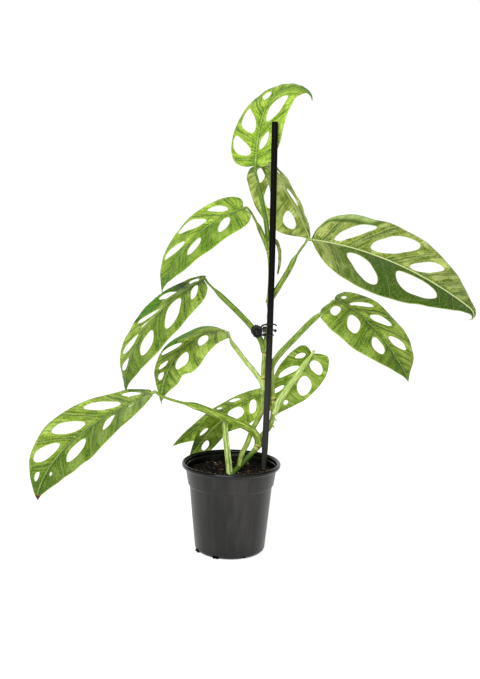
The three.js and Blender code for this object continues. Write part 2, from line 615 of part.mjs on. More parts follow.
// Collects the vertices and triangles of a blade's middle surface.
class BladeSheet {
  constructor(leaf) {
    this.leaf = leaf;
    this.vertices = [];
    this.triangles = [];
    this.known = new Map();
  }

  vertex(side, u, q) {
    const outward = u <= 0 || u >= 1 ? 0 : q;
    const key = [side, u.toFixed(6), outward.toFixed(6)].join();
    if (!this.known.has(key)) {
      this.known.set(key, this.vertices.length);
      this.vertices.push(bladePoint(this.leaf, side, u, outward));
    }
    return this.known.get(key);
  }

  // Adds a triangle given anticlockwise for the left half; a collapsed one is left out.
  triangle(side, a, b, c) {
    if (a !== b && b !== c && c !== a) {
      this.triangles.push(side > 0 ? [a, b, c] : [a, c, b]);
    }
  }

  // Fills the strip between a half's inner edge and the midrib.
  zip(side, edge, rib) {
    let i = 0;
    let j = 0;
    while (i < edge.length - 1 || j < rib.length - 1) {
      const nextEdge = i < edge.length - 1 ? edge[i + 1].at : Infinity;
      const nextRib = j < rib.length - 1 ? rib[j + 1].at : Infinity;
      if (nextEdge <= nextRib) {
        this.triangle(side, edge[i + 1].index, edge[i].index, rib[j].index);
        i += 1;
      } else {
        this.triangle(side, rib[j].index, rib[j + 1].index, edge[i].index);
        j += 1;
      }
    }
  }

  // Thickens the sheet into a closed body with matching faces and straight edge walls.
  geometry() {
    const half = BLADE.thickness / 2;
    const count = this.vertices.length;
    const positions = [];
    for (const { place, facing } of this.vertices) {
      positions.push(...place.clone().addScaledVector(facing, half).toArray());
    }
    for (const { place, facing, drop } of this.vertices) {
      positions.push(...place.clone().addScaledVector(facing, -half - drop).toArray());
    }
    const index = [];
    const edges = new Map();
    for (const [a, b, c] of this.triangles) {
      index.push(a, b, c, a + count, c + count, b + count);
      for (const [from, to] of [[a, b], [b, c], [c, a]]) {
        edges.set(`${from},${to}`, [from, to]);
      }
    }
    for (const [from, to] of edges.values()) {
      if (!edges.has(`${to},${from}`)) {
        index.push(from + count, to + count, to, from + count, to, from);
      }
    }
    const geometry = new THREE.BufferGeometry();
    geometry.setAttribute('position', new THREE.Float32BufferAttribute(positions, 3));
    geometry.setIndex(index);
    return geometry;
  }
}

// The shares of the midrib where one half is divided into bands, one hole to a band at most.
function bandsOf(holes) {
  const limits = holes.map(([centre, half, , , slant]) => {
    const reach = half + Math.abs(slant) / 2;
    return [centre - reach, centre + reach];
  });
  const bands = [];
  let from = 0;
  holes.forEach((hole, i) => {
    const after = i + 1 < holes.length ? limits[i + 1][0] : Math.min(1, limits[i][1] + 0.08);
    const to = (limits[i][1] + after) / 2;
    const room = limits[i][0] - from;
    if (i === 0 && room > 0.06) {
      bands.push({ from, to: limits[i][0] - 0.02, hole: null });
      from = limits[i][0] - 0.02;
    }
    bands.push({ from, to, hole });
    from = to;
    if (i + 1 < holes.length && after - limits[i][1] > 0.1) {
      bands[bands.length - 1].to = limits[i][1] + 0.03;
      bands.push({ from: limits[i][1] + 0.03, to: after - 0.03, hole: null });
      from = after - 0.03;
    }
  });
  while (from < 0.999) {
    const to = from < 0.75 ? from + 0.16 : from < 0.93 ? 0.93 : 1;
    bands.push({ from, to, hole: null });
    from = to;
  }
  return bands;
}

// Fills one band of a half, leaving its hole open, and returns its vertices on the midrib's side.
function fillBand(sheet, side, { from, to, hole }) {
  const middle = (from + to) / 2;
  const inner = [from, middle, to].map((u) => ({ at: u, index: sheet.vertex(side, u, 0) }));
  const ring = inner.map(({ at }) => [at, 0]);
  for (let step = 1; step <= BLADE.acrossSteps; step++) {
    ring.push([to, step / BLADE.acrossSteps]);
  }
  const crowding = from === 0 ? 2.5 : 1; // the margin turns quickly at the base lobe
  for (let step = BLADE.alongSteps - 1; step >= 0; step--) {
    ring.push([from + (to - from) * (step / BLADE.alongSteps) ** crowding, 1]);
  }
  for (let step = BLADE.acrossSteps - 1; step > 0; step--) {
    ring.push([from, step / BLADE.acrossSteps]);
  }
  const outer = ring.map(([u, q]) => sheet.vertex(side, u, q));
  if (!hole) {
    const centre = sheet.vertex(side, middle, 0.5);
    outer.forEach((index, i) => sheet.triangle(side, index, outer[(i + 1) % outer.length], centre));
    return inner;
  }
  const [centre, half, start, end, slant] = hole;
  const centreOut = (start + end) / 2;
  const halfOut = (end - start) / 2;
  const power = 2 / BLADE.roundness;
  const bulge = (value) => Math.sign(value) * Math.abs(value) ** power;
  const rim = ring.map(([u, q]) => {
    const angle = Math.atan2((q - centreOut) / halfOut, (u - centre) / half);
    const sine = bulge(Math.sin(angle));
    const across = centre + half * bulge(Math.cos(angle)) + slant / 2 * sine;
    return sheet.vertex(side, across, centreOut + halfOut * sine);
  });
  outer.forEach((index, i) => {
    const next = (i + 1) % outer.length;
    sheet.triangle(side, index, outer[next], rim[next]);
    sheet.triangle(side, index, rim[next], rim[i]);
  });
  return inner;
}

function bladeGeometry(leaf) {
  const sheet = new BladeSheet(leaf);
  const chains = [[1, leaf.holesLeft], [-1, leaf.holesRight]].map(([side, holes]) => {
    const chain = bandsOf(holes).flatMap((band) => fillBand(sheet, side, band));
    return chain.filter(({ index }, i) => i === 0 || index !== chain[i - 1].index);
  });
  const shares = [...new Set(chains.flat().map(({ at }) => at))].sort((one, two) => one - two);
  const rib = shares
    .filter((at, i) => i === 0 || at === 1 || at - shares[i - 1] > 0.012)
    .map((at) => ({ at, index: sheet.vertex(0, at, 0) }));
  chains.forEach((chain, i) => sheet.zip(i === 0 ? 1 : -1, chain, rib));
  return sheet.geometry();
}

// ---- Spring clip -----------------------------------------------------------------------------

// A round pad with a beaded edge, standing upright at the end of its arm.
function clipPad(heading) {
  const outline = new THREE.Shape();
  const steps = CLIP.padBeads * 2;
  for (let step = 0; step < steps; step++) {
    const angle = (step / steps) * 2 * Math.PI;
    const radius = CLIP.padRadius - (step % 2) * CLIP.beadDepth;
    const spot = [Math.cos(angle) * radius, Math.sin(angle) * radius];
    if (step === 0) {
      outline.moveTo(...spot);
    } else {
      outline.lineTo(...spot);
    }
  }
  const pad = new THREE.ExtrudeGeometry(outline, { depth: CLIP.padThickness, bevelEnabled: false });
  pad.translate(0, 0, -CLIP.padThickness / 2);
  pad.rotateX(Math.PI / 2);
  pad.translate(CLIP.padReach, 0, CLIP.pivot[2]);
  pad.rotateZ(radians(heading));
  pad.translate(CLIP.pivot[0], CLIP.pivot[1], 0);
  return solid(pad);
}

// A plate from the pad towards the pivot, standing upright.
function clipArm(heading, from, to, low, high) {
  const arm = box(to - from, CLIP.armThickness, high - low);
  arm.translate((from + to) / 2, 0, (low + high) / 2);
  arm.rotateZ(radians(heading));
  arm.translate(CLIP.pivot[0], CLIP.pivot[1], 0);
  return solid(arm);
}

function clipClaw(route) {
  return solid(sweep(smooth(route), ringShares(9, 1), 6, () => CLIP.clawRadius));
}

// A jaw: pad, arm and knuckles bored for the pin, with its claws joined on.
function clipJaw(heading, knuckles, claws) {
  const [x, y] = CLIP.pivot;
  const low = Math.min(...knuckles.flat());
  const high = Math.max(...knuckles.flat());
  const bodies = [clipPad(heading), clipArm(heading, 4.4, 6, low, high)];
  for (const [from, to] of knuckles) {
    bodies.push(clipArm(heading, 0, 5, from, to));
    bodies.push(solid(upright(CLIP.knuckleRadius, from, to, x, y, 14)));
  }
  const bore = solid(upright(CLIP.pinRadius + GAP, low - 1, high + 1, x, y, 12));
  return joinAll([...bodies, ...claws]).subtract(bore);
}

function clipSpring() {
  const [x, y] = CLIP.pivot;
  const { coilRadius, wireRadius, turns, from, to } = CLIP.spring;
  const coil = [];
  const steps = Math.round(turns * 10);
  for (let step = 0; step <= steps; step++) {
    const angle = (step / steps) * turns * 2 * Math.PI;
    const height = from + (to - from) * (step / steps);
    coil.push([x + Math.cos(angle) * coilRadius, y + Math.sin(angle) * coilRadius, height]);
  }
  return sweep(smooth(coil), ringShares(steps, 1), 5, () => wireRadius);
}

// ---- The plant -------------------------------------------------------------------------------

const plant = new THREE.Group();

function add(name, geometry, material) {
  const mesh = new THREE.Mesh(geometry, material);
  mesh.name = name;
  plant.add(mesh);
}

const lowerCutter = solid(stemGeometry(LOWER_STEM, GAP));
const upperCutter = solid(stemGeometry(UPPER_STEM, GAP));
const stakeCutter = solid(stakeGeometry(GAP));
const soilPetiole = LEAVES.find(({ name }) => name === 'leaf_11');
const deepCutter = solid(petioleGeometry(soilPetiole, GAP));

add('pot', potGeometry(), POT_PLASTIC);
add('soil', geometryOf(cutAll(soilBody(), [lowerCutter, stakeCutter, deepCutter])), EARTH);
add('stake', stakeGeometry(0), BLACK_PLASTIC);

const lowerStem = joinAll([solid(stemGeometry(LOWER_STEM, 0)), ...ROOT_BUDS.map(rootBud)]);
const upperStem = solid(stemGeometry(UPPER_STEM, 0)).subtract(lowerCutter);
add('stem_lower', geometryOf(lowerStem), STEM);
add('stem_upper', geometryOf(upperStem), STEM);

const petioleCutters = [];
for (const leaf of LEAVES) {
  const body = solid(petioleGeometry(leaf, 0));
  const seated = cutAll(body, [lowerCutter, upperCutter, stakeCutter, ...petioleCutters]);
  add(`${leaf.name}_petiole`, geometryOf(seated), PETIOLE);
  add(`${leaf.name}_blade`, bladeGeometry(leaf), LEAF);
  petioleCutters.push(solid(petioleGeometry(leaf, GAP)));
}

const rootBody = solid(sweep(smooth(AERIAL_ROOT.route), ringShares(9, 1), 7, (share) => (
  AERIAL_ROOT.radius + (AERIAL_ROOT.tip - AERIAL_ROOT.radius) * share ** 3
)));
add('aerial_root', geometryOf(cutAll(rootBody, [upperCutter, ...petioleCutters])), BARK);

const frontJaw = clipJaw(CLIP.frontAngle, CLIP.frontKnuckles, [
  clipClaw(CLIP.topClaw),
  clipClaw(CLIP.bottomClaw),
]);
const ball = new THREE.SphereGeometry(CLIP.ballRadius, 8, 6);
ball.translate(...CLIP.rearClaw[CLIP.rearClaw.length - 1]);
const rearJaw = clipJaw(CLIP.rearAngle, [CLIP.rearKnuckle], [clipClaw(CLIP.rearClaw), solid(ball)]);
const [pinX, pinY, pinZ] = CLIP.pivot;
const halfPin = CLIP.pinLength / 2;
add('clip_front_jaw', geometryOf(frontJaw), BLACK_PLASTIC);
add('clip_rear_jaw', geometryOf(rearJaw), BLACK_PLASTIC);
add('clip_pin', upright(CLIP.pinRadius, pinZ - halfPin, pinZ + halfPin, pinX, pinY, 12), STEEL);
add('clip_spring', clipSpring(), STEEL);

export default plant;
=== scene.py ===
"""A young swiss cheese vine in its nursery pot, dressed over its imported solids.

Sizes are in millimetres in the classes and become metres when a mesh is made.
"""

import logging
import math
import random
from collections.abc import Callable
from dataclasses import dataclass, replace
from enum import Enum

import bmesh
import bpy
import numpy as np
from mathutils import Matrix, Vector

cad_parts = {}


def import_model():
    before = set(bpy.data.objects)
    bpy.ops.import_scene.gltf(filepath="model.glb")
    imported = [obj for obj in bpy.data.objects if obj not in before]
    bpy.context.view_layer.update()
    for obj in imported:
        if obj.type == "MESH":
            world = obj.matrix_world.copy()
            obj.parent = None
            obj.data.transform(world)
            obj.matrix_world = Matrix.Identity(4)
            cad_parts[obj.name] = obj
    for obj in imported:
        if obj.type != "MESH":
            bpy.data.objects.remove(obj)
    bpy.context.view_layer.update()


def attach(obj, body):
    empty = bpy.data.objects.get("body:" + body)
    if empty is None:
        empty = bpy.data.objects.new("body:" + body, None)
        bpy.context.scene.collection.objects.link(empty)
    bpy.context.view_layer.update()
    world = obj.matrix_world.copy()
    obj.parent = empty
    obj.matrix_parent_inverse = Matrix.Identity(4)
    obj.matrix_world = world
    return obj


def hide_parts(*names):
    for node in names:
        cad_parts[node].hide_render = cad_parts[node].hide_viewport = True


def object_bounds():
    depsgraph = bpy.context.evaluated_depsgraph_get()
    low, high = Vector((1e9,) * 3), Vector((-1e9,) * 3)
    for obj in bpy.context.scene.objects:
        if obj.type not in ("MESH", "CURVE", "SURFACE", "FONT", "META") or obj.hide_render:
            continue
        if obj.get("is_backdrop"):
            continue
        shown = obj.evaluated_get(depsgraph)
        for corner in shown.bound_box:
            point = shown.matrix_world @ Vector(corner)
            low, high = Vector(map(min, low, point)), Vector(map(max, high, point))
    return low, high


LOG = logging.getLogger("vine")
MM = 0.001
Triple = tuple[float, float, float]
Colour = tuple[float, float, float]
Hole = tuple[float, float, float, float, float]
Array = np.ndarray
Piece = bpy.types.Object
Material = bpy.types.Material
Socket = bpy.types.NodeSocket
Value = Socket | Triple | float
Radii = Callable[[Array, Array, Array], Array]
Marks = Callable[[Array, Array, Array], dict[str, Array]]


def shade(red: float, green: float, blue: float) -> Colour:
    """Turns a colour in screen values 0 to 255 into linear values 0 to 1."""
    channels = (value / 255 for value in (red, green, blue))
    return tuple(c / 12.92 if c <= 0.04045 else ((c + 0.055) / 1.055) ** 2.4 for c in channels)


def smoothstep(value: Array, low: float, high: float) -> Array:
    """Rises smoothly from 0 at low to 1 at high."""
    share = np.clip((value - low) / (high - low), 0, 1)
    return share * share * (3 - 2 * share)


def bell(offset: Array, width: float | Array) -> Array:
    """A smooth peak, 1 where there is no offset."""
    return np.exp(-(offset / width) ** 2)


class Body(Enum):
    """The moving bodies that pieces ride on."""

    PLANT = "plant"
    FRONT_JAW = "front_jaw"


# ---- Material drafting ----


class Recipe:
    """A node material in the making, with short calls for the nodes it needs."""

    def __init__(self, name: str) -> None:
        """Starts a material with a Principled shader.

        Args:
            name: the material's name.
        """
        self.material = bpy.data.materials.new(name)
        self.material.use_nodes = True
        self.nodes = self.material.node_tree.nodes
        self.links = self.material.node_tree.links
        self.shader = self.nodes["Principled BSDF"]
        self.coat: Value = (0.0, 0.0, 0.0)

    def set(self, **values: float | Colour) -> None:
        """Sets uniform values on the shader's own sockets, named with underscores for spaces."""
        for name, value in values.items():
            self.feed(self.shader.inputs[name.replace("_", " ")], value)

    def feed(self, socket: Socket, value: Value) -> None:
        """Links an output to a socket, or sets the socket's value.

        Args:
            socket: the input socket.
            value: an output socket, a colour or a number.
        """
        if isinstance(value, Socket):
            self.links.new(value, socket)
        elif isinstance(value, tuple) and socket.type == "RGBA":
            socket.default_value = (*value, 1)
        else:
            socket.default_value = value

    def node(self, kind: str, inputs: dict[str | int, Value], **settings: str) -> bpy.types.Node:
        """Adds a node.

        Args:
            kind: the node's type.
            inputs: what goes into its sockets, by name or number.
            settings: its options by name.

        Returns:
            The node.
        """
        node = self.nodes.new(kind)
        for name, setting in settings.items():
            setattr(node, name, setting)
        for name, value in inputs.items():
            self.feed(node.inputs[name], value)
        return node

    def attribute(self, name: str, output: str = "Fac") -> Socket:
        """An output of one of the mesh's own attributes."""
        return self.node("ShaderNodeAttribute", {}, attribute_name=name).outputs[output]

    def places(self) -> Socket:
        """Object coordinates."""
        return self.node("ShaderNodeTexCoord", {}).outputs["Object"]

    def stretch(self, vector: Socket, scale: Triple) -> Socket:
        """Scales a pattern's coordinates along each axis."""
        return self.node("ShaderNodeMapping", {"Vector": vector, "Scale": scale}).outputs["Vector"]

    def join(self, first: Value, second: Value, third: Value) -> Socket:
        """Makes one vector of three values."""
        return self.node("ShaderNodeCombineXYZ", {0: first, 1: second, 2: third}).outputs["Vector"]

    def parts(self, vector: Socket) -> list[Socket]:
        """The three numbers of a vector, as separate outputs."""
        return list(self.node("ShaderNodeSeparateXYZ", {0: vector}).outputs)

    def math(self, operation: str, one: Value, two: Value = 0.0) -> Socket:
        """Joins two values by one of the Math node's operations."""
        return self.node("ShaderNodeMath", {0: one, 1: two}, operation=operation).outputs[0]

    def plus(self, one: Value, two: Value) -> Socket:
        """Adds two values."""
        return self.math("ADD", one, two)

    def minus(self, one: Value, two: Value) -> Socket:
        """Takes the second value from the first."""
        return self.math("SUBTRACT", one, two)

    def times(self, one: Value, two: Value) -> Socket:
        """Multiplies two values."""
        return self.math("MULTIPLY", one, two)

    def ease(self, value: Value, low: float, high: float, start: float = 0.0, end: float = 1.0) -> Socket:
        """Maps a value smoothly from low..high to start..end."""
        inputs = {"Value": value, "From Min": low, "From Max": high, "To Min": start, "To Max": end}
        return self.node("ShaderNodeMapRange", inputs, interpolation_type="SMOOTHSTEP").outputs["Result"]

    def noise(self, vector: Socket, scale: float, detail: float = 3.0, rough: float = 0.55) -> Socket:
        """Fractal noise, 0 to 1."""
        inputs = {"Vector": vector, "Scale": scale, "Detail": detail, "Roughness": rough}
        return self.node("ShaderNodeTexNoise", inputs).outputs["Fac"]

    def cells(self, vector: Socket, scale: float, feature: str = "DISTANCE_TO_EDGE") -> Socket:
        """Distances in Voronoi cells."""
        inputs = {"Vector": vector, "Scale": scale}
        return self.node("ShaderNodeTexVoronoi", inputs, feature=feature).outputs["Distance"]

    def mix(self, share: Value, one: Value, two: Value) -> Socket:
        """Blends two colours by a share 0 to 1. The Mix node takes colours at 6 and 7 and gives one at 2."""
        return self.node("ShaderNodeMix", {0: share, 6: one, 7: two}, data_type="RGBA").outputs[2]

    def blend(self, share: Value, tint: Value) -> None:
        """Lays a tint over the coat so far, by a share 0 to 1."""
        self.coat = self.mix(share, self.coat, tint)

    def wash(self, tint: Value, value: Value, low: float, high: float, *ends: float) -> None:
        """Lays a tint over the coat by a share that eases between its ends as a value runs low to high."""
        self.blend(self.ease(value, low, high, *ends), tint)

    def roughen(self, value: Value) -> None:
        """Feeds the roughness."""
        self.feed(self.shader.inputs["Roughness"], value)

    def bump(self, height: Socket, distance: float, strength: float) -> None:
        """Adds fine relief; distance is how far a height of 1 stands out, in metres."""
        inputs = {"Distance": distance, "Strength": strength, "Height": height}
        self.feed(self.shader.inputs["Normal"], self.node("ShaderNodeBump", inputs).outputs["Normal"])


# ---- Finishes ----


@dataclass(frozen=True)
class Finish:
    """A finish for one of the record's material slots."""

    slot: str

    def build(self, name: str) -> Material:
        """Makes the material.

        Args:
            name: the material's name.

        Returns:
            The finished material.
        """
        recipe = Recipe(name)
        self.lay(recipe)
        recipe.feed(recipe.shader.inputs["Base Color"], recipe.coat)
        return recipe.material

    def lay(self, r: Recipe) -> None:
        """Adds the nodes of this finish to a material in the making."""
        raise NotImplementedError


@dataclass(frozen=True)
class BladeFinish(Finish):
    """The skin of a leaf blade: satin, quilted, fine fibres along its veins, painted shade and painted highlights.

    Creases carry painted shade, and painted highlights lie beside them, on the swells and along the rims. Rib
    glow and reach are how pale the midrib is and how far out. Tip shade paints shade towards the tip, half shade
    paints it over one half, and patchy sets the strength of broad patches. Beyond sear, in metres, the tip is
    scorched.
    """

    tissue: Colour
    pale_and_highlight: Colour
    deep_and_shade: Colour
    vein_and_rim_highlight: Colour
    under: Colour
    painted_fold: Colour = shade(38, 98, 30)
    rib_glow: float = 0.25
    rib_reach: float = 1.7
    tip_shade: float = 0.58
    half_shade: float = 0.5
    sear: float = 0.0
    patchy: float = 3.3
    gloss: float = 0.42
    polish: float = 0.05

    @staticmethod
    def _away(r: Recipe, phase: Socket, count: float) -> Socket:
        """Measures how far off the nearest vein is.

        Args:
            r: the material in the making.
            phase: quilts passed along the midrib.
            count: strips that fine veins split each quilt into.

        Returns:
            The distance in millimetres.
        """
        lines = r.times(phase, count)
        share = r.math("ABSOLUTE", r.minus(lines, r.math("ROUND", lines)))
        return r.times(share, r.math("DIVIDE", r.attribute("pitch"), count))

    def lay(self, r: Recipe) -> None:
        """Adds the upper face, its veins, a margin strip painted as if turned, and the paler underside.

        Args:
            r: the material in the making.
        """
        flat = r.attribute("flat", "Vector")
        grain = r.attribute("grain", "Vector")
        wide_fibres = r.noise(r.stretch(grain, (2.6, 1.3, 1)), 1, 3, 0.5)
        sway = r.minus(wide_fibres, 0.5)
        phase = r.attribute("phase")
        lateral = self._away(r, phase, 1.0)
        minor = self._away(r, r.plus(phase, r.times(sway, 0.25)), 3.0)
        edge = r.attribute("edge")
        rib = r.attribute("rib")
        swell = r.attribute("swell")
        clouds = r.ease(r.noise(flat, 24, 3), 0.36, 0.64)
        zones = r.minus(r.noise(flat, 46, 2, 0.5), 0.5)
        fibres = r.noise(r.stretch(grain, (13, 0.5, 1)), 1, 4, 0.65)
        streaks = r.minus(r.noise(r.stretch(grain, (4.6, 0.32, 1)), 1, 3, 0.55), 0.5)
        hem = r.noise(r.join(r.times(edge, 0.45), r.times(phase, 0.35), 0.0), 1, 3, 0.6)
        hem = r.times(r.minus(hem, 0.5), r.ease(edge, 2, 7, 1, 0))
        streaks = r.plus(r.times(streaks, r.ease(edge, 1, 6, 0.15, 1)), hem)
        # The quilt's swell in ridge paints highlight on the bulges and shade between them; the rest of ridge is random
        # tone.
        ridge = r.plus(swell, r.plus(r.times(sway, 0.7), r.times(streaks, 1.3)))
        ridge = r.plus(ridge, r.times(zones, self.patchy))
        r.coat = self.tissue
        r.wash(self.pale_and_highlight, ridge, 0.25, 0.9, 0, 0.85)
        r.wash(self.deep_and_shade, ridge, -0.35, 0.4, 0.85, 0)
        r.wash(self.pale_and_highlight, edge, 0.8, 6, 0.3, 0)
        # Painted highlight on the strip that rises beside each side vein.
        beside = r.math("ABSOLUTE", r.minus(r.plus(lateral, sway), 2.2))
        r.wash(self.pale_and_highlight, beside, 0.2, 1.6, 0.4, 0)
        r.blend(r.times(clouds, 0.25), self.tissue)
        # Painted shade in the creases along the side veins and beside the midrib.
        crease = r.ease(r.plus(lateral, r.times(sway, 1.6)), 0.25, 1.3, 1, 0)
        crease = r.times(crease, r.ease(edge, 0.5, 5, 0.2, 1))
        crease = r.math("MAXIMUM", crease, r.ease(rib, 1.0, 3.2, 0.9, 0))
        r.blend(r.times(crease, 0.88), self.deep_and_shade)
        fine = r.times(r.ease(minor, 0.1, 0.8, 1, 0), r.ease(rib, 3, 9))
        r.blend(r.times(fine, 0.4), self.deep_and_shade)
        # Painted shade near the midrib, along the side veins.
        wedge = r.times(r.ease(rib, 2, 15, 0.75, 0), r.ease(lateral, 0.8, 5, 1, 0))
        r.blend(wedge, self.deep_and_shade)
        speckle = r.noise(flat, 420, 3, 0.7)
        r.wash(self.pale_and_highlight, speckle, 0.52, 0.66, 0, 0.6)
        r.wash(self.deep_and_shade, speckle, 0.34, 0.48, 0.8, 0)
        r.wash(self.pale_and_highlight, fibres, 0.5, 0.64, 0, 0.45)
        r.wash(self.deep_and_shade, fibres, 0.34, 0.5, 0.5, 0)
        # Painted shade over the shaded half, fading towards the base, and painted shade towards the tip.
        half = r.times(r.attribute("shade"), r.ease(r.attribute("share"), 0.02, 0.26, 0.4, 1))
        r.blend(r.times(half, self.half_shade), self.deep_and_shade)
        r.wash(self.deep_and_shade, r.attribute("share"), 0.5, 1.0, 0, self.tip_shade)
        net_line = r.ease(r.cells(r.stretch(flat, (1, 0.75, 1)), 260), 0.0, 0.12, 1, 0)
        veins = r.math("MAXIMUM", r.ease(lateral, 0.1, 0.45, 0.3, 0), r.times(net_line, 0.1))
        r.blend(veins, self.vein_and_rim_highlight)
        r.wash(self.vein_and_rim_highlight, rib, 0.4 * self.rib_reach, self.rib_reach, self.rib_glow, 0)
        # Painted fold: painted shade of a turned margin in the darker finishes, painted highlight in the paler ones,
        # and a painted shadow along its inner side.
        painted_fold = r.attribute("painted_fold")
        ribs = r.ease(fibres, 0.42, 0.6, 0, 0.5)
        r.blend(r.times(painted_fold, 0.9), r.mix(ribs, self.painted_fold, self.tissue))
        turn = r.times(r.ease(painted_fold, 0.05, 0.35), r.ease(painted_fold, 0.5, 0.95, 1, 0))
        r.blend(r.times(turn, 0.8), self.deep_and_shade)
        # Painted highlight along the rims of the margin and the holes.
        r.wash(self.vein_and_rim_highlight, edge, 0.15, 1.1, 0.5, 0)
        below = r.ease(r.attribute("face"), -0.6, 0.2, 1, 0)
        upper, r.coat = r.coat, self.under
        r.wash(self.vein_and_rim_highlight, fibres, 0.5, 0.64, 0, 0.75)
        r.wash(self.tissue, fibres, 0.36, 0.5, 0.85, 0)
        # Painted shade in the hollows between the swells and in the creases of the underside.
        r.wash(self.tissue, ridge, -0.2, 0.45, 0.8, 0)
        r.wash(self.vein_and_rim_highlight, zones, 0.02, 0.16, 0, 0.4)
        r.wash(self.deep_and_shade, zones, -0.16, -0.03, 0.4, 0)
        r.blend(r.times(r.math("MAXIMUM", crease, fine), 0.5), self.deep_and_shade)
        r.blend(r.math("MAXIMUM", veins, r.ease(rib, 1.0, 2.0, 0.8, 0)), self.vein_and_rim_highlight)
        r.coat = r.mix(below, upper, r.coat)
        if self.sear > 0:
            tip = r.plus(r.parts(flat)[0], r.times(r.noise(flat, 90), 0.006))
            r.wash(shade(128, 92, 30), tip, self.sear, self.sear + 0.0015)
            r.wash(shade(84, 44, 22), tip, self.sear + 0.0012, self.sear + 0.0025)
        r.roughen(r.plus(r.times(clouds, 0.14), self.gloss))
        relief = r.times(r.plus(fibres, r.times(streaks, 2.0)), 0.35)
        relief = r.minus(relief, r.times(crease, 0.5))
        relief = r.minus(relief, r.times(net_line, 0.05))
        r.bump(relief, 0.0017, 0.9)
        r.set(Specular_IOR_Level=self.polish)


@dataclass(frozen=True)
class StalkFinish(Finish):
    """The waxy skin of stems and petioles, with lengthwise streaks; it is dark below a height in metres."""

    skin: Colour
    pale: Colour
    dark: Colour
    scar: Colour
    dark_below: float = 0.0

    def lay(self, r: Recipe) -> None:
        """Adds streaks, the painted shade and highlight of the grooves, and node rings.

        Args:
            r: the material in the making.
        """
        along = r.attribute("along")
        around = r.attribute("around", "Vector")
        lines = r.noise(r.stretch(around, (1, 1, 0.05)), 5.5, 4, 0.6)
        spots = r.noise(r.places(), 160, 4, 0.6)
        r.coat = self.skin
        r.wash(self.pale, lines, 0.46, 0.64)
        r.wash(self.dark, lines, 0.32, 0.48, 0.75, 0)
        r.wash(self.dark, spots, 0.5, 0.72, 0, 0.45)
        # Painted shade in the channel and grooves, painted highlight on the crests beside them.
        groove = r.attribute("groove")
        r.wash(self.dark, groove, 0.05, 0.6, 0, 0.6)
        r.wash(self.pale, groove, -0.9, -0.1, 0.8, 0)
        if self.dark_below > 0:
            height = r.parts(r.places())[2]
            low = r.ease(height, self.dark_below - 0.014, self.dark_below + 0.004, 0.85, 0)
            r.blend(low, self.dark)
        ring = r.attribute("ring")
        r.wash(self.pale, ring, 0.25, 0.8, 0, 0.55)
        r.wash(self.scar, ring, 0.9, 0.985, 0, 0.85)
        freckles = r.ease(r.cells(r.places(), 420, "F1"), 0.1, 0.25, 0.25, 0)
        r.blend(freckles, self.scar)
        r.roughen(r.ease(lines, 0.2, 0.8, 0.36, 0.52))
        fine = r.noise(r.stretch(around, (1, 1, 0.12)), 14, 3)
        r.bump(r.plus(fine, r.times(r.noise(along, 0.4), 0.3)), 0.00018, 0.7)
        r.set(Specular_IOR_Level=0.25)


@dataclass(frozen=True)
class PlasticFinish(Finish):
    """Moulded plastic with a faint grain, scuffs and dust.

    Where a piece is marked for it, it is darker and glossier in the crown colour; towards its foot, below a height
    in metres, it has painted shade in the crown colour.
    """

    colour: Colour
    dust: Colour
    roughness: float
    grain: float
    scuff: float = 0.25
    streak: Triple = (1.0, 1.0, 0.12)
    crown: Colour = shade(12, 12, 12)
    polish: float = 0.5
    foot: float = 0.0

    def lay(self, r: Recipe) -> None:
        """Adds scuffs, dust, the darker gloss, the painted shade at the foot and grain.

        Args:
            r: the material in the making.
        """
        places = r.places()
        smear = r.noise(r.stretch(places, self.streak), 55, 5, 0.62)
        fog = r.noise(places, 18, 3)
        r.coat = self.colour
        r.wash(self.dust, smear, 0.4, 0.7, 0, self.scuff)
        specks = r.ease(r.cells(places, 260, "F1"), 0.02, 0.09, 0.5, 0)
        r.blend(r.times(specks, r.ease(fog, 0.45, 0.65)), self.dust)
        # Darker and glossier where marked; inside the pot this darkening is painted shade.
        dark_gloss = r.attribute("dark_gloss")
        r.blend(r.times(dark_gloss, 0.92), self.crown)
        # Painted shade towards the foot, where the pot stands on the floor.
        if self.foot > 0:
            r.wash(self.crown, r.parts(places)[2], 0.0, self.foot, 0.85, 0)
        rough = r.plus(r.times(smear, 0.22), self.roughness - 0.1)
        rough = r.minus(rough, r.times(dark_gloss, 0.16))
        r.roughen(r.plus(rough, r.times(fog, 0.08)))
        grit = r.noise(places, 900, 3)
        waves = r.noise(r.stretch(places, self.streak), 70, 2)
        r.bump(r.plus(r.times(grit, 0.25), waves), self.grain, 0.6)
        r.set(Specular_IOR_Level=self.polish)


@dataclass(frozen=True)
class SoilFinish(Finish):
    """Damp potting mix, nearly black, with a few pale specks."""

    damp: Colour
    dry: Colour
    fibre: Colour

    def lay(self, r: Recipe) -> None:
        """Adds lumps of damp and dry mix, fibres and pale grains.

        Args:
            r: the material in the making.
        """
        places = r.places()
        lumps = r.noise(places, 190, 6, 0.7)
        tint = r.attribute("tint")
        r.coat = self.damp
        r.wash(self.dry, lumps, 0.35, 0.7)
        r.wash(self.fibre, tint, 0.3, 0.6)
        r.wash(shade(196, 186, 168), tint, 0.8, 0.95)
        r.roughen(r.ease(lumps, 0.3, 0.7, 0.62, 0.95))
        r.bump(r.plus(lumps, r.noise(places, 900, 3)), 0.0009, 0.9)
        r.set(Specular_IOR_Level=0.16)


@dataclass(frozen=True)
class SteelFinish(Finish):
    """Bright drawn wire."""

    colour: Colour

    def lay(self, r: Recipe) -> None:
        """Adds the marks of drawing.

        Args:
            r: the material in the making.
        """
        drawn = r.noise(r.stretch(r.places(), (1, 1, 0.2)), 1500, 3)
        r.coat = self.colour
        r.wash(shade(120, 120, 122), drawn, 0.3, 0.7, 0, 0.4)
        r.roughen(r.ease(drawn, 0.2, 0.8, 0.22, 0.42))
        r.bump(drawn, 0.00002, 0.5)
        r.set(Metallic=1.0)


# ---- Curves and tubes ----


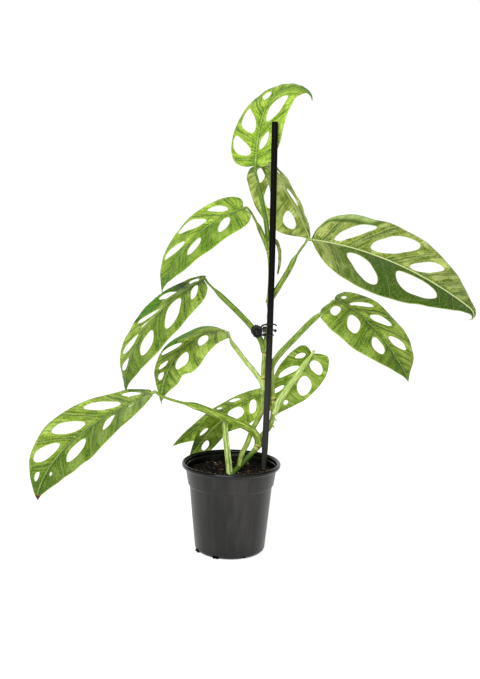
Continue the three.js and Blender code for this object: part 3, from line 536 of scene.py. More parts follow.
class Route:
    """A smooth line through given points, measured by its length."""

    SAMPLES = 40

    def __init__(self, points: list[Triple]) -> None:
        """Samples a centripetal spline through the points.

        Args:
            points: the places that the line passes, in millimetres.
        """
        knots = np.array(points, float)
        knots = np.vstack([2 * knots[0] - knots[1], knots, 2 * knots[-1] - knots[-2]])
        pieces = []
        for i in range(1, len(knots) - 2):
            pieces.append(self._piece(*knots[i - 1:i + 3]))
        self.dense = np.vstack([*pieces, knots[-2:-1]])
        steps = np.linalg.norm(np.diff(self.dense, axis=0), axis=1)
        self.reach = np.concatenate([[0], np.cumsum(steps)])
        self.length = float(self.reach[-1])

    @staticmethod
    def _piece(before: Array, start: Array, end: Array, after: Array) -> Array:
        """Samples one span of the spline.

        Args:
            before: the point before the span.
            start: the span's first point.
            end: its last point.
            after: the point after it.

        Returns:
            The places along the span.
        """
        gaps = [max(np.linalg.norm(b - a) ** 0.5, 1e-4) for a, b in ((before, start), (start, end), (end, after))]
        first = (start - before) / gaps[0] - (end - before) / (gaps[0] + gaps[1]) + (end - start) / gaps[1]
        last = (end - start) / gaps[1] - (after - start) / (gaps[1] + gaps[2]) + (after - end) / gaps[2]
        first, last = first * gaps[1], last * gaps[1]
        t = np.linspace(0, 1, Route.SAMPLES, endpoint=False)[:, None]
        cubic = 2 * start - 2 * end + first + last
        square = -3 * start + 3 * end - 2 * first - last
        return start + first * t + square * t ** 2 + cubic * t ** 3

    def at(self, shares: Array) -> Array:
        """The places at shares 0..1 of the length."""
        goal = shares * self.length
        return np.stack([np.interp(goal, self.reach, self.dense[:, axis]) for axis in range(3)], -1)


@dataclass
class Tube:
    """A closed tube along a route, with a radius that may change along and around it.

    Attributes:
        route: the centreline.
        sides: faces around.
        pitch: distance between rings.
        upward: the direction that the tube's top faces, as near as its run allows.
    """

    route: Route
    sides: int = 28
    pitch: float = 1.2
    upward: Triple = (0.0, 0.0, 1.0)

    def mesh(self, name: str, radius: Radii, marks: Marks | None = None) -> Piece:
        """Makes the tube.

        Args:
            name: the object's name.
            radius: gives the radii of all rings from shares, angles and centres.
            marks: gives extra attributes by name from shares, angles and centres.

        Returns:
            The object, shaded smooth.
        """
        rings = max(6, round(self.route.length / self.pitch))
        shares = np.linspace(0, 1, rings + 1)
        centres = self.route.at(shares)
        tangents = np.gradient(centres, axis=0)
        tangents /= np.linalg.norm(tangents, axis=1)[:, None]
        normals = np.zeros_like(centres)
        normal = np.array(self.upward, float)
        for i in range(rings, -1, -1):
            normal = normal - tangents[i] * (normal @ tangents[i])
            normal /= np.linalg.norm(normal)
            normals[i] = normal
        binormals = np.cross(tangents, normals)
        angles = np.arange(self.sides) / self.sides * 2 * math.pi
        grid = np.meshgrid(shares, angles, indexing="ij")
        radii = radius(grid[0], grid[1], centres)[..., None]
        spots = (
            centres[:, None]
            + normals[:, None] * np.cos(angles)[None, :, None] * radii
            + binormals[:, None] * np.sin(angles)[None, :, None] * radii
        )
        vertices = np.vstack([spots.reshape(-1, 3), centres[:1], centres[-1:]])
        piece = new_mesh(name, vertices, tube_faces(rings, self.sides))
        extra = {"along": grid[0] * self.route.length, "ring": grid[0] * 0, "groove": grid[0] * 0}
        extra.update(marks(grid[0], grid[1], centres) if marks else {})
        for key, values in extra.items():
            flat = values.reshape(-1)
            add_attribute(piece, key, np.concatenate([flat, flat[:1], flat[-1:]]))
        around = np.stack([np.cos(grid[1]), np.sin(grid[1]), grid[0] * self.route.length / 3], -1).reshape(-1, 3)
        add_attribute(piece, "around", np.vstack([around, around[:1], around[-1:]]), "FLOAT_VECTOR")
        return piece


def tube_faces(spans: int, sides: int) -> list[tuple[int, ...]]:
    """Faces of a closed tube, whose vertices are its rings in turn, then the centres of its two ends.

    Args:
        spans: gaps between rings.
        sides: vertices in a ring.

    Returns:
        The vertex numbers of each face.
    """
    following = [(j, (j + 1) % sides) for j in range(sides)]
    faces = []
    for ring in range(0, spans * sides, sides):
        faces += [(ring + j, ring + k, ring + sides + k, ring + sides + j) for j, k in following]
    last, centre = spans * sides, (spans + 1) * sides
    for j, k in following:
        faces += [(centre, k, j), (centre + 1, last + j, last + k)]
    return faces


def new_mesh(name: str, vertices: Array, faces: list) -> Piece:
    """Makes a smooth-shaded object from millimetre vertices and faces that point outwards.

    Args:
        name: the object's name.
        vertices: places in millimetres.
        faces: vertex numbers of each face.

    Returns:
        The new object, at the origin.
    """
    mesh = bpy.data.meshes.new(name)
    mesh.from_pydata((np.asarray(vertices) * MM).tolist(), [], [tuple(map(int, face)) for face in faces])
    mesh.validate()
    mesh.update()
    mesh.shade_smooth()
    piece = bpy.data.objects.new(name, mesh)
    bpy.context.scene.collection.objects.link(piece)
    return piece


def from_top(angle: Array) -> Array:
    """How far round a tube each angle is from its top, either way, in radians."""
    return np.abs((angle + math.pi) % (2 * math.pi) - math.pi)


def add_attribute(piece: Piece, name: str, values: Array, kind: str = "FLOAT") -> None:
    """Stores a value for each vertex."""
    layer = piece.data.attributes.new(name, kind, "POINT")
    layer.data.foreach_set("value" if kind == "FLOAT" else "vector", np.asarray(values, np.float32).reshape(-1))


def dress(piece: Piece, material: Material, slot: str, body: Body, *nodes: str) -> None:
    """Gives a piece its material and body, and hides the solids that it stands for.

    Args:
        piece: the object.
        material: its finish.
        slot: the record's material slot; not used.
        body: the body that it moves with.
        nodes: the CAD nodes that it replaces.
    """
    piece.data.materials.clear()
    piece.data.materials.append(material)
    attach(piece, body.value)
    if nodes:
        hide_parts(*nodes)
    LOG.info("%s: %d faces, for %s", piece.name, len(piece.data.polygons), ", ".join(nodes) or "nothing")


# ---- Leaf blades ----


@dataclass(frozen=True)
class StalkPlan:
    """Where a petiole runs: its points, the share that is sheath, its radii and its bend."""

    route: tuple[Triple, ...]
    sheath: float
    wide: float
    slim: float
    knee: float


@dataclass(frozen=True)
class HalfPlan:
    """One half of a blade: its width, how it folds, its holes and the dents of its margin.

    Each hole is its centre along, half length along, inner end, outer end and slant, as shares. Each dent
    is its place and half length, as shares, and how far it bulges out.
    """

    width: float
    lean: float
    fold: float
    open: float
    curl: float
    holes: tuple[Hole, ...]
    dents: tuple[Triple, ...] = ()


@dataclass(frozen=True)
class LeafPlan:
    """One leaf: the midrib's base, length and course, and both halves. Angles are degrees.

    The painted fold is a stretch of margin painted with the shade and highlight of a turn that the mesh doesn't
    make: its side, start, end and inner edge, as shares, and fold is how wide its paint ramps in. The half
    with painted shade is 1 for the left one, -1 for the right one and 0 for neither. Quilted scales the relief
    between the veins.
    """

    name: str
    base: Triple
    length: float
    back: float
    blunt: float
    taper: float
    turn: float
    sweep: float
    rise: float
    droop: float
    bend: float
    roll: float
    twist: float
    left: HalfPlan
    right: HalfPlan
    stalk: StalkPlan
    hook: float = 20.0
    painted_fold: tuple[int, float, float, float] = (0, 0.0, 0.0, 0.0)
    shaded_half: int = 0
    quilted: float = 1.0
    fold: float = 0.13


class BladeShape:
    """The curved surface of a blade.

    Side is 1 for the left half and -1 for the right one. A place is given by u and q, its shares of the
    midrib and of the way out, or by its distances along the midrib and out from it.
    """

    SPINE_STEPS = 48
    HOOK_START = 0.9
    RIB_BASE = 1.5
    RIB_TIP = 0.4
    STRAY = 0.35

    def __init__(self, plan: LeafPlan) -> None:
        """Sums up the midrib.

        Args:
            plan: the leaf's sizes.
        """
        self.plan = plan
        steps = (np.arange(self.SPINE_STEPS) + 0.5) / self.SPINE_STEPS
        ahead = self._tangent(steps) * plan.length / self.SPINE_STEPS
        self.spine = np.vstack([plan.base, plan.base + np.cumsum(ahead, axis=0)])

    def _angles(self, share: Array) -> tuple[Array, Array]:
        """Bends the midrib.

        Args:
            share: places along it, 0 to 1.

        Returns:
            Its climb and heading, in radians.
        """
        p = self.plan
        hooked = np.maximum(0, (share - self.HOOK_START) / (1 - self.HOOK_START)) ** 2
        climb = np.radians(p.rise - p.droop * share ** p.bend - p.hook * hooked)
        return climb, np.radians(p.turn + p.sweep * share)

    def _tangent(self, share: Array) -> Array:
        """Direction of the midrib."""
        climb, turn = self._angles(share)
        return np.stack([np.cos(climb) * np.cos(turn), np.cos(climb) * np.sin(turn), np.sin(climb)], -1)

    def frame(self, share: Array) -> tuple[Array, Array, Array, Array]:
        """Finds the axes of the blade.

        Args:
            share: places along the midrib, 0 to 1.

        Returns:
            The centre, tangent, leftward and upward directions.
        """
        climb, turn = self._angles(share)
        level = np.stack([-np.sin(turn), np.cos(turn), 0 * turn], -1)
        upper = np.stack([-np.sin(climb) * np.cos(turn), -np.sin(climb) * np.sin(turn), np.cos(climb)], -1)
        bank = np.radians(self.plan.roll + self.plan.twist * share)[..., None]
        across = level * np.cos(bank) + upper * np.sin(bank)
        normal = upper * np.cos(bank) - level * np.sin(bank)
        stations = np.linspace(0, 1, self.SPINE_STEPS + 1)
        centre = np.stack([np.interp(share, stations, self.spine[:, axis]) for axis in range(3)], -1)
        return centre, self._tangent(share), across, normal

    def half(self, side: int) -> HalfPlan:
        """The sizes of one half."""
        return self.plan.left if side > 0 else self.plan.right

    def rib(self, share: Array) -> Array:
        """Half width of the midrib."""
        return self.RIB_BASE + (self.RIB_TIP - self.RIB_BASE) * share

    def margin(self, half: HalfPlan, u: Array) -> tuple[Array, Array]:
        """Draws the outline.

        Args:
            half: the half's sizes.
            u: where side veins leave the midrib.

        Returns:
            How far forward each of them ends, and how far out.
        """
        p = self.plan
        crest = p.blunt / (p.blunt + p.taper)
        peak = crest ** p.blunt * (1 - crest) ** p.taper
        reach = half.width * u ** p.blunt * (1 - u) ** p.taper / peak
        room = np.minimum(reach / 8, 1)
        for place, length, bulge in half.dents:
            reach = reach + room * bulge * bell(u - place, length)
        slope = half.lean * (1 - u ** 6) - (half.lean + p.back) * (1 - u) ** 6
        return slope * reach, reach

    def place(self, side: int, u: Array, q: Array) -> tuple[Array, Array, Array]:
        """Points of one half.

        Args:
            side: 1 or -1.
            u: where the side veins leave the midrib.
            q: how far out along them.

        Returns:
            The points, and their distances along and out from the midrib.
        """
        half = self.half(side)
        shift, reach = self.margin(half, u)
        inner = self.rib(u)
        free = smoothstep(reach - inner, 0, 2.5)
        along = self.plan.length * u + shift * q * free
        out = inner + (np.maximum(reach, inner) - inner) * q
        along, out = self._stray(side, along, out)
        return self.sheet(side, along, out), along, out

    def _stray(self, side: int, along: Array, out: Array) -> tuple[Array, Array]:
        """Shifts places a little in the sheet, as uneven growth does.

        Args:
            side: 1 or -1.
            along: distances along.
            out: distances out.

        Returns:
            The new distances.
        """
        seed = self.plan.length * 0.37 + side
        fade = self.STRAY * smoothstep(out, 3, 12) * smoothstep(self.plan.length - along, 2, 25)
        ahead = np.sin(along / 6.3 + out / 7.7 + seed) + 0.5 * np.sin(-along / 4.1 + out / 5.2 + 2.9 * seed)
        aside = np.sin(along / 7.1 - out / 6.9 + 2.3 * seed) + 0.5 * np.sin(along / 4.4 + out / 4.6 + 0.7 * seed)
        return along + fade * ahead, out + fade * aside

    def sheet(self, side: int, along: Array, out: Array) -> Array:
        """Lays places on the folded and curled surface.

        Args:
            side: 1 or -1.
            along: distances along.
            out: distances out.

        Returns:
            The points.
        """
        half = self.half(side)
        share = np.clip(along / self.plan.length, 0, 1)
        centre, tangent, across, normal = self.frame(share)
        lift = np.radians(half.fold + half.open * share)
        bend = np.radians(half.curl) * out / half.width
        chord = out * np.sinc(bend / 2 / math.pi)
        return (
            centre + tangent * (along - share * self.plan.length)[..., None]
            + across * (side * chord * np.cos(lift + bend / 2))[..., None]
            + normal * (chord * np.sin(lift + bend / 2))[..., None]
        )

    def facing(self, side: int, along: Array, out: Array) -> Array:
        """Finds which way the upper face looks.

        Args:
            side: 1 or -1.
            along: distances along.
            out: distances out.

        Returns:
            The unit normals.
        """
        step = 0.5
        back, ahead = np.maximum(along - step, 0), np.minimum(along + step, self.plan.length)
        lengthwise = self.sheet(side, ahead, out) - self.sheet(side, back, out)
        outward = self.sheet(side, along, out + step) - self.sheet(side, along, out)
        normal = np.cross(lengthwise, outward) * side
        return normal / np.linalg.norm(normal, axis=-1)[..., None]


class BladeMesher:
    """Lays a fine closed mesh over a blade, with its holes, midrib, vein relief and soft edges."""

    CELL = 1.25
    ROUNDNESS = 2.5
    BASE_STEPS = (0.0002, 0.0008, 0.002, 0.004)
    RIB_COLUMNS = 8
    HALF_BODY = 0.34
    HALF_EDGE = 0.2
    EDGE_BULGE = 0.2
    RIB_DROP = 1.1
    QUILT = 1.7
    WAVE = 0.4
    WAVE_LENGTH = 7.3
    RINGS = 7
    KEEL = 0.28
    WELD = 0.002
    FAR = 50.0
    RIGHT_PHASE = 40.0

    def __init__(self, plan: LeafPlan) -> None:
        """Prepares the shared rows along the midrib.

        Args:
            plan: the leaf's sizes.
        """
        self.plan = plan
        self.shape = BladeShape(plan)
        count = round(plan.length / self.CELL)
        even = np.arange(1, count + 1) / count
        self.rows = np.concatenate([[0], self.BASE_STEPS, even])
        self.records: list[tuple[Array, ...]] = []
        self.faces: list[tuple[int, ...]] = []
        self.total = 0

    def _store(self, side: Array, u: Array, q: Array, w: Array) -> Array:
        """Adds vertices.

        Args:
            side: 1, -1, or 0 on the midrib.
            u: shares along.
            q: shares out.
            w: place across the midrib, or 1 on a hole's rim.

        Returns:
            Their numbers, in the shape that the values share.
        """
        shape = np.broadcast(side, u, q, w).shape
        flat = [np.broadcast_to(values, shape).reshape(-1).astype(float) for values in (side, u, q, w)]
        self.records.append(tuple(flat))
        start = self.total
        self.total += flat[0].size
        return np.arange(start, self.total).reshape(shape)

    def _quads(self, side: int, a: Array, b: Array, c: Array, d: Array) -> None:
        """Adds quads that run anticlockwise on the left half."""
        order = (a, b, c, d) if side > 0 else (a, d, c, b)
        self.faces.extend(zip(*(corner.reshape(-1).tolist() for corner in order)))

    def _spans(self, holes: tuple[Hole, ...]) -> list[tuple[int, int, Hole]]:
        """Finds room for each hole.

        Args:
            holes: the holes of one half, from the base on.

        Returns:
            The first and last row around each hole, and the hole.
        """
        limits = [(c - h - abs(s) / 2, c + h + abs(s) / 2) for c, h, _, _, s in holes]
        spans = []
        for i, hole in enumerate(holes):
            low, high = limits[i]
            room_before = low - (limits[i - 1][1] if i else 0)
            room_after = (limits[i + 1][0] if i + 1 < len(holes) else 1) - high
            pad = 0.35 * (high - low)
            start = low - min(pad, room_before / 2)
            end = high + min(pad, room_after / 2)
            first = int(np.searchsorted(self.rows, start, "right")) - (0 if room_before < 2 * pad else 1)
            last = int(np.searchsorted(self.rows, end, "left")) - (1 if room_after < 2 * pad else 0)
            if spans and first < spans[-1][1]:
                first = spans[-1][1]
            spans.append((max(first, 1), min(last, len(self.rows) - 2), hole))
        return spans

    def _half(self, side: int, half: HalfPlan) -> Array:
        """Fills one half.

        Args:
            side: 1 or -1.
            half: its sizes.

        Returns:
            The numbers of its vertices along the midrib.
        """
        steps = max(12, round(half.width / self.CELL))
        q = np.linspace(0, 1, steps + 1)
        grid = self._store(np.array(side), self.rows[:, None], q[None, :], np.array(0.0))
        open_rows = np.ones(len(self.rows) - 1, bool)
        for first, last, hole in self._spans(half.holes):
            open_rows[first:last] = False
            self._around_hole(side, grid, first, last, hole)
        for row in np.nonzero(open_rows)[0]:
            self._quads(side, grid[row, :-1], grid[row + 1, :-1], grid[row + 1, 1:], grid[row, 1:])
        return grid[:, 0]

    def _around_hole(self, side: int, grid: Array, first: int, last: int, hole: Hole) -> None:
        """Fills the rows around one hole with rings that close in on its rim.

        Args:
            side: 1 or -1.
            grid: numbers of the half's vertices by row and column.
            first: the row before the hole.
            last: the row after it.
            hole: its sizes.
        """
        steps = grid.shape[1] - 1
        loop = [(i, 0) for i in range(first, last)] + [(last, j) for j in range(steps)]
        loop += [(i, steps) for i in range(last, first, -1)] + [(first, j) for j in range(steps, 0, -1)]
        rows, columns = np.array(loop).T
        u, q = self.rows[rows], columns / steps
        centre, reach, start, end, slant = hole
        middle, half_out = (start + end) / 2, (end - start) / 2
        angle = np.arctan2((q - middle) / half_out, (u - centre) / reach)
        power = 2 / self.ROUNDNESS
        sine = np.sign(np.sin(angle)) * np.abs(np.sin(angle)) ** power
        cosine = np.sign(np.cos(angle)) * np.abs(np.cos(angle)) ** power
        rim_u = centre + reach * cosine + slant / 2 * sine
        rim_q = middle + half_out * sine
        ring = grid[rows, columns]
        for layer in range(1, self.RINGS + 1):
            share = 1 - (1 - layer / self.RINGS) ** 1.5
            on_rim = np.array(float(layer == self.RINGS))
            inner = self._store(np.array(side), u + (rim_u - u) * share, q + (rim_q - q) * share, on_rim)
            self._quads(side, ring, np.roll(ring, -1), np.roll(inner, -1), inner)
            ring = inner

    def _laterals(self, half: HalfPlan) -> Array:
        """Runs the main side veins between the holes.

        Args:
            half: the half's sizes.

        Returns:
            The shares of the midrib where they leave it.
        """
        lines = [0.0]
        end = 0.0
        for centre, reach, *_ in half.holes:
            lines.append((end + centre - reach) / 2 if end > 0 else (centre - reach) * 0.6)
            end = centre + reach
        lines.append(end + 0.02)
        while lines[-1] < 0.9:
            lines.append(lines[-1] + 0.09)
        lines.append(1.0)
        spaced = [lines[0]]
        for line in lines[1:]:
            if line - spaced[-1] >= 0.012:
                spaced.append(line)
        return np.array(spaced)

    def build(self) -> Piece:
        """Makes the blade's object with the attributes that its finish reads.

        Returns:
            The object.
        """
        left = self._half(1, self.plan.left)
        right = self._half(-1, self.plan.right)
        ribs = np.linspace(1, -1, self.RIB_COLUMNS + 1)[1:-1]
        middle = self._store(np.array(0), self.rows[:, None], np.array(0.0), ribs[None, :])
        strip = np.hstack([left[:, None], middle, right[:, None]])
        self._quads(1, strip[:-1, 1:], strip[1:, 1:], strip[1:, :-1], strip[:-1, :-1])
        side, u, q, w = (np.concatenate(values) for values in zip(*self.records))
        return self._close(self._fields(side, u, q, w))

    def _fields(self, side: Array, u: Array, q: Array, w: Array) -> dict[str, Array]:
        """Works out the middle surface and what its finish reads.

        Args:
            side: 1, -1, or 0 on the midrib.
            u: shares along.
            q: shares out.
            w: place across the midrib.

        Returns:
            Each vertex's place, normal, relief and pattern values, by name.
        """
        plan, shape = self.plan, self.shape
        centre, normal = np.zeros((2, len(u), 3))
        along, reach = plan.length * u, np.zeros(len(u))
        phase, pitch, hole_gap = np.zeros(len(u)), np.ones(len(u)), np.full(len(u), self.FAR)
        width = np.ones(len(u))
        for sign, half in ((1, plan.left), (-1, plan.right)):
            pick = side == sign
            centre[pick], along[pick], reach[pick] = shape.place(sign, u[pick], q[pick])
            normal[pick] = shape.facing(sign, along[pick], reach[pick])
            lines = self._laterals(half)
            numbers = np.arange(len(lines), dtype=float)
            phase[pick] = np.interp(u[pick], lines, numbers)
            gaps = np.diff(lines) * plan.length
            pitch[pick] = np.interp(u[pick], (lines[:-1] + lines[1:]) / 2, gaps)
            width[pick] = np.maximum(shape.margin(half, u[pick])[1], shape.rib(u[pick])) - shape.rib(u[pick])
            for hole in half.holes:
                hole_gap[pick] = np.minimum(hole_gap[pick], self._gap(hole, u[pick], q[pick], width[pick]))
        rib = side == 0
        edge_left, along_left, out_left = shape.place(1, u[rib], 0 * u[rib])
        edge_right, along_right, out_right = shape.place(-1, u[rib], 0 * u[rib])
        spine = shape.frame(u[rib])[0]
        share = w[rib][:, None]
        centre[rib] = spine + np.where(share > 0, (edge_left - spine) * share, (edge_right - spine) * -share)
        blend = (1 + share) / 2
        mixed = shape.facing(1, along_left, out_left) * blend + shape.facing(-1, along_right, out_right) * (1 - blend)
        normal[rib] = mixed / np.linalg.norm(mixed, axis=1)[:, None]
        reach[rib] = np.abs(w[rib]) * shape.rib(u[rib])
        lines = self._laterals(plan.left)
        phase[rib] = np.interp(u[rib], lines, np.arange(len(lines)))
        edge = np.minimum(np.where(rib, self.FAR, (1 - q) * width), hole_gap)
        lateral = np.abs(phase - np.round(phase)) * pitch
        bulge = np.sin(np.pi * (phase % 1)) ** 2 * np.clip(pitch / 14, 0.3, 1.2)
        free = np.where(rib, 0, smoothstep(reach, 1.5, 9)) * smoothstep(edge, 0, 5)
        ripple = np.sin(along / self.WAVE_LENGTH + side * 1.3 + plan.turn) * smoothstep(q, 0.5, 1)
        relief = self.QUILT * bulge * free + self.WAVE * (ripple * smoothstep(width, 4, 16))
        groove = bell(lateral, 0.9) * np.where(rib, 0, 1) * smoothstep(edge, 0, 3)
        # The shade value marks the half that gets painted shade.
        return dict(
            side=side, share=u, centre=centre + normal * (plan.quilted * relief)[:, None], normal=normal,
            along=along, out=reach * np.where(side < 0, -1, 1), phase=phase + (side < 0) * self.RIGHT_PHASE,
            pitch=pitch, edge=edge, rib=reach, groove=groove * smoothstep(reach, 1.2, 4),
            painted_fold=self._painted_fold_share(side, u, q), swell=bulge * free,
            shade=abs(plan.shaded_half) * np.where(side == plan.shaded_half, smoothstep(reach, 0, 3), 0.0),
        )

    def _painted_fold_share(self, side: Array, u: Array, q: Array) -> Array:
        """Finds the stretch of margin that is painted as if turned; the mesh is not turned there.

        Args:
            side: 1, -1, or 0 on the midrib.
            u: shares along.
            q: shares out.

        Returns:
            How far each vertex is on it, 0 to 1.
        """
        sign, start, end, inner = self.plan.painted_fold
        lengthwise = smoothstep(u, start - 0.04, start + 0.02) * (1 - smoothstep(u, end - 0.02, end + 0.05))
        return np.where(side == sign, lengthwise * smoothstep(q, inner - 0.05, inner - 0.05 + self.plan.fold), 0)

    def _gap(self, hole: Hole, u: Array, q: Array, width: Array) -> Array:
        """Measures how far a hole is.

        Args:
            hole: its sizes.
            u: shares along.
            q: shares out.
            width: how wide the half is there.

        Returns:
            The distance in millimetres to its rim.
        """
        centre, reach, start, end, slant = hole
        middle, half_out = (start + end) / 2, (end - start) / 2
        rise = (q - middle) / half_out
        shift = (u - centre - slant / 2 * np.clip(rise, -1, 1)) / reach
        size = (np.abs(shift) ** self.ROUNDNESS + np.abs(rise) ** self.ROUNDNESS) ** (1 / self.ROUNDNESS)
        distance = np.hypot(shift * reach * self.plan.length, rise * half_out * width)
        return np.maximum(distance * (1 - 1 / np.maximum(size, 1)), 0)

    def _close(self, fields: dict[str, Array]) -> Piece:
        """Welds the sheet and gives it two faces and a rounded edge.

        Args:
            fields: each vertex's values by name.

        Returns:
            The object.
        """
        rounded = np.round(fields["centre"] / self.WELD).astype(np.int64)
        _, kept, twin = np.unique(rounded, axis=0, return_index=True, return_inverse=True)
        twin = twin.reshape(-1)
        data = {key: values[kept] for key, values in fields.items()}
        faces = []
        seen = set()
        for face in self.faces:
            corners = [int(twin[i]) for i in face]
            corners = [c for i, c in enumerate(corners) if c != corners[i - 1]]
            key = tuple(sorted(corners))
            if len(set(corners)) == len(corners) >= 3 and key not in seen:
                seen.add(key)
                faces.append(corners)
        count = len(kept)
        edges = dict.fromkeys((face[i - 1], corner) for face in faces for i, corner in enumerate(face))
        border = [pair for pair in edges if (pair[1], pair[0]) not in edges]
        centre, normal = data["centre"], data["normal"]
        outward = np.zeros_like(centre)
        for start, end in border:
            way = np.cross(centre[end] - centre[start], normal[start])
            way /= max(np.linalg.norm(way), 1e-9)
            outward[start] += way
            outward[end] += way
        rim = sorted({i for pair in border for i in pair})
        outward[rim] /= np.maximum(np.linalg.norm(outward[rim], axis=1), 1e-9)[:, None]
        body = self.HALF_EDGE + (self.HALF_BODY - self.HALF_EDGE) * smoothstep(data["edge"], 0, 2.5)
        rib, width = data["rib"], self.shape.rib(data["share"])
        ridge = np.sqrt(np.clip(1 - (rib / (1.3 * width)) ** 2, 0, 1))
        drop = self.RIB_DROP * width / BladeShape.RIB_BASE * ridge
        crest, dip = bell(rib, 0.5 * width), bell(rib - 1.5 * width, 0.6 * width)
        keel = self.KEEL * width / BladeShape.RIB_BASE * (0.9 * crest - 1.3 * dip)
        top = centre + normal * (body + keel - 0.24 * data["groove"])[:, None]
        bottom = centre - normal * (body + drop + 0.2 * data["groove"])[:, None]
        soft = centre[rim] + outward[rim] * self.EDGE_BULGE
        row = {vertex: 2 * count + i for i, vertex in enumerate(rim)}
        solid = [tuple(face) for face in faces] + [tuple(i + count for i in reversed(face)) for face in faces]
        for start, end in border:
            solid.append((end, start, row[start], row[end]))
            solid.append((row[end], row[start], start + count, end + count))
        piece = new_mesh(f"{self.plan.name}_lamina", np.vstack([top, bottom, soft]), solid)
        for key in ("phase", "pitch", "edge", "rib", "painted_fold", "swell", "shade", "share"):
            add_attribute(piece, key, np.concatenate([data[key], data[key], data[key][rim]]))
        add_attribute(piece, "face", np.concatenate([np.ones(count), -np.ones(count), np.zeros(len(rim))]))
        flat = np.stack([data["along"], data["out"], 0 * data["out"]], -1) * MM
        add_attribute(piece, "flat", np.vstack([flat, flat, flat[rim]]), "FLOAT_VECTOR")
        grain = np.stack([data["phase"], np.abs(data["out"]) / 20, data["side"]], -1)
        add_attribute(piece, "grain", np.vstack([grain, grain, grain[rim]]), "FLOAT_VECTOR")
        return piece


@dataclass
class Leaf:
    """A leaf: its blade and its petiole."""

    plan: LeafPlan
    finish: BladeFinish
    skin: StalkFinish

    FULLNESS = 1.14
    INTO_BLADE = 1.5

    def blade(self) -> None:
        """Builds and dresses the blade."""
        name = self.plan.name
        piece = BladeMesher(self.plan).build()
        dress(piece, self.finish.build(f"{name}_skin"), self.finish.slot, Body.PLANT, f"{name}_blade")

    def petiole(self, material: Material) -> None:
        """Builds and dresses the petiole, a channelled sheath that ends in a slim stalk.

        Args:
            material: the shared stalk finish.
        """
        stalk = self.plan.stalk
        _, (heading,), _, (up,) = BladeShape(self.plan).frame(np.zeros(1))
        base = np.array(self.plan.base)
        ends = [tuple(base + heading * step) for step in (-stalk.knee, -stalk.knee / 2, self.INTO_BLADE)]
        route = Route([*stalk.route, *ends])

        def radius(share: Array, angle: Array, centres: Array) -> Array:
            """Radii of all rings."""
            slimming = smoothstep(share, stalk.sheath - 0.1, stalk.sheath + 0.02)
            along = self.FULLNESS * stalk.wide * (1 - 0.22 * share)
            size = along + (stalk.slim - along) * slimming
            turned = from_top(angle)
            sheathed = smoothstep(share, 0.06, 0.2) * (1 - smoothstep(share, stalk.sheath - 0.015, stalk.sheath + 0.01))
            channel = bell(turned, 0.3) * (0.3 * sheathed + 0.08)
            wing = bell(turned - 0.62, 0.2) * sheathed
            wing = wing * (0.12 + 0.1 * smoothstep(share, 0.3, stalk.sheath))
            swollen = 0.32 * bell((1 - share) * route.length, 6)
            clasp = 0.18 * bell(share * route.length, 7)
            return size * (1 - channel + wing + swollen + clasp)

        def marks(share: Array, angle: Array, centres: Array) -> dict[str, Array]:
            """Values that the finish reads."""
            turned = from_top(angle)
            sheathed = smoothstep(share, 0.04, 0.15) * (1 - smoothstep(share, stalk.sheath, stalk.sheath + 0.05))
            # Groove values for the finish: painted shade in the channel and valleys, painted highlight on the crests.
            crests = bell(turned - 0.7, 0.22) + 0.7 * bell(turned - 2.1, 0.3)
            valleys = bell(turned, 0.3) + 0.8 * bell(turned - 1.35, 0.25)
            groove = (valleys - crests) * (0.22 + 0.2 * sheathed)
            return {"groove": groove, "ring": 0.7 * bell((1 - share) * route.length, 3)}

        piece = Tube(route, 30, 1.0, tuple(up)).mesh(f"{self.plan.name}_stalk", radius, marks)
        dress(piece, material, self.skin.slot, Body.PLANT, f"{self.plan.name}_petiole")


# ---- Stems, root and stake ----


@dataclass
class Vine:
    """A length of stem with swollen node rings, and short root buds where it has any."""

    node: str
    route: tuple[Triple, ...]
    rings: tuple[Triple, ...]
    buds: tuple[tuple[Triple, Triple], ...] = ()
    radius: float = 3.1
    swell: float = 0.8
    ring_width: float = 5.0
    bud: float = 1.35

    def build(self, finish: StalkFinish) -> None:
        """Builds and dresses the stem.

        Args:
            finish: its finish.
        """
        route = Route(list(self.route))

        def distances(centres: Array) -> Array:
            """Distances to the nearest node ring."""
            return np.linalg.norm(centres[:, None] - np.array(self.rings)[None], axis=2).min(1)

        def radius(share: Array, angle: Array, centres: Array) -> Array:
            """Radii of all rings."""
            gap = distances(centres)[:, None]
            swell = self.swell * bell(gap, self.ring_width) + 0.28 * bell(gap, 0.8)
            flutes = 0.06 * np.sin(5 * angle + 3 * share) + 0.04 * np.sin(11 * angle)
            drift = 0.12 * np.sin(share * route.length / 9) * np.sin(angle + 1)
            return self.radius + swell + flutes + drift

        def marks(share: Array, angle: Array, centres: Array) -> dict[str, Array]:
            """Values that the finish reads."""
            wobble = 0.5 * np.sin(angle * 2)
            ring = bell(distances(centres)[:, None] + wobble, self.ring_width)
            return {"ring": ring, "groove": 0 * share}

        piece = Tube(route, 40, 0.9).mesh(f"{self.node}_vine", radius, marks)
        for start, way in self.buds:
            self._add_bud(piece, Vector(start), Vector(way).normalized())
        dress(piece, finish.build(f"{self.node}_skin"), finish.slot, Body.PLANT, self.node)

    def _add_bud(self, stem: Piece, start: Vector, way: Vector) -> None:
        """Joins a short blunt root bud to the stem.

        Args:
            stem: the stem.
            start: where the bud starts, inside the stem.
            way: the direction that it grows in.
        """
        points = [start + way * step + Vector((0, 0, -0.05)) * step ** 2 for step in (0, 2, 4, 6)]
        line = Route([tuple(point) for point in points])

        def radius(share: Array, angle: Array, centres: Array) -> Array:
            """Radii of all rings."""
            return self.bud * (1 - 0.55 * share) * np.sqrt(np.clip(1.04 - share ** 6, 0, 1))

        join(stem, [Tube(line, 16, 0.4).mesh(f"{stem.name}_bud", radius)])


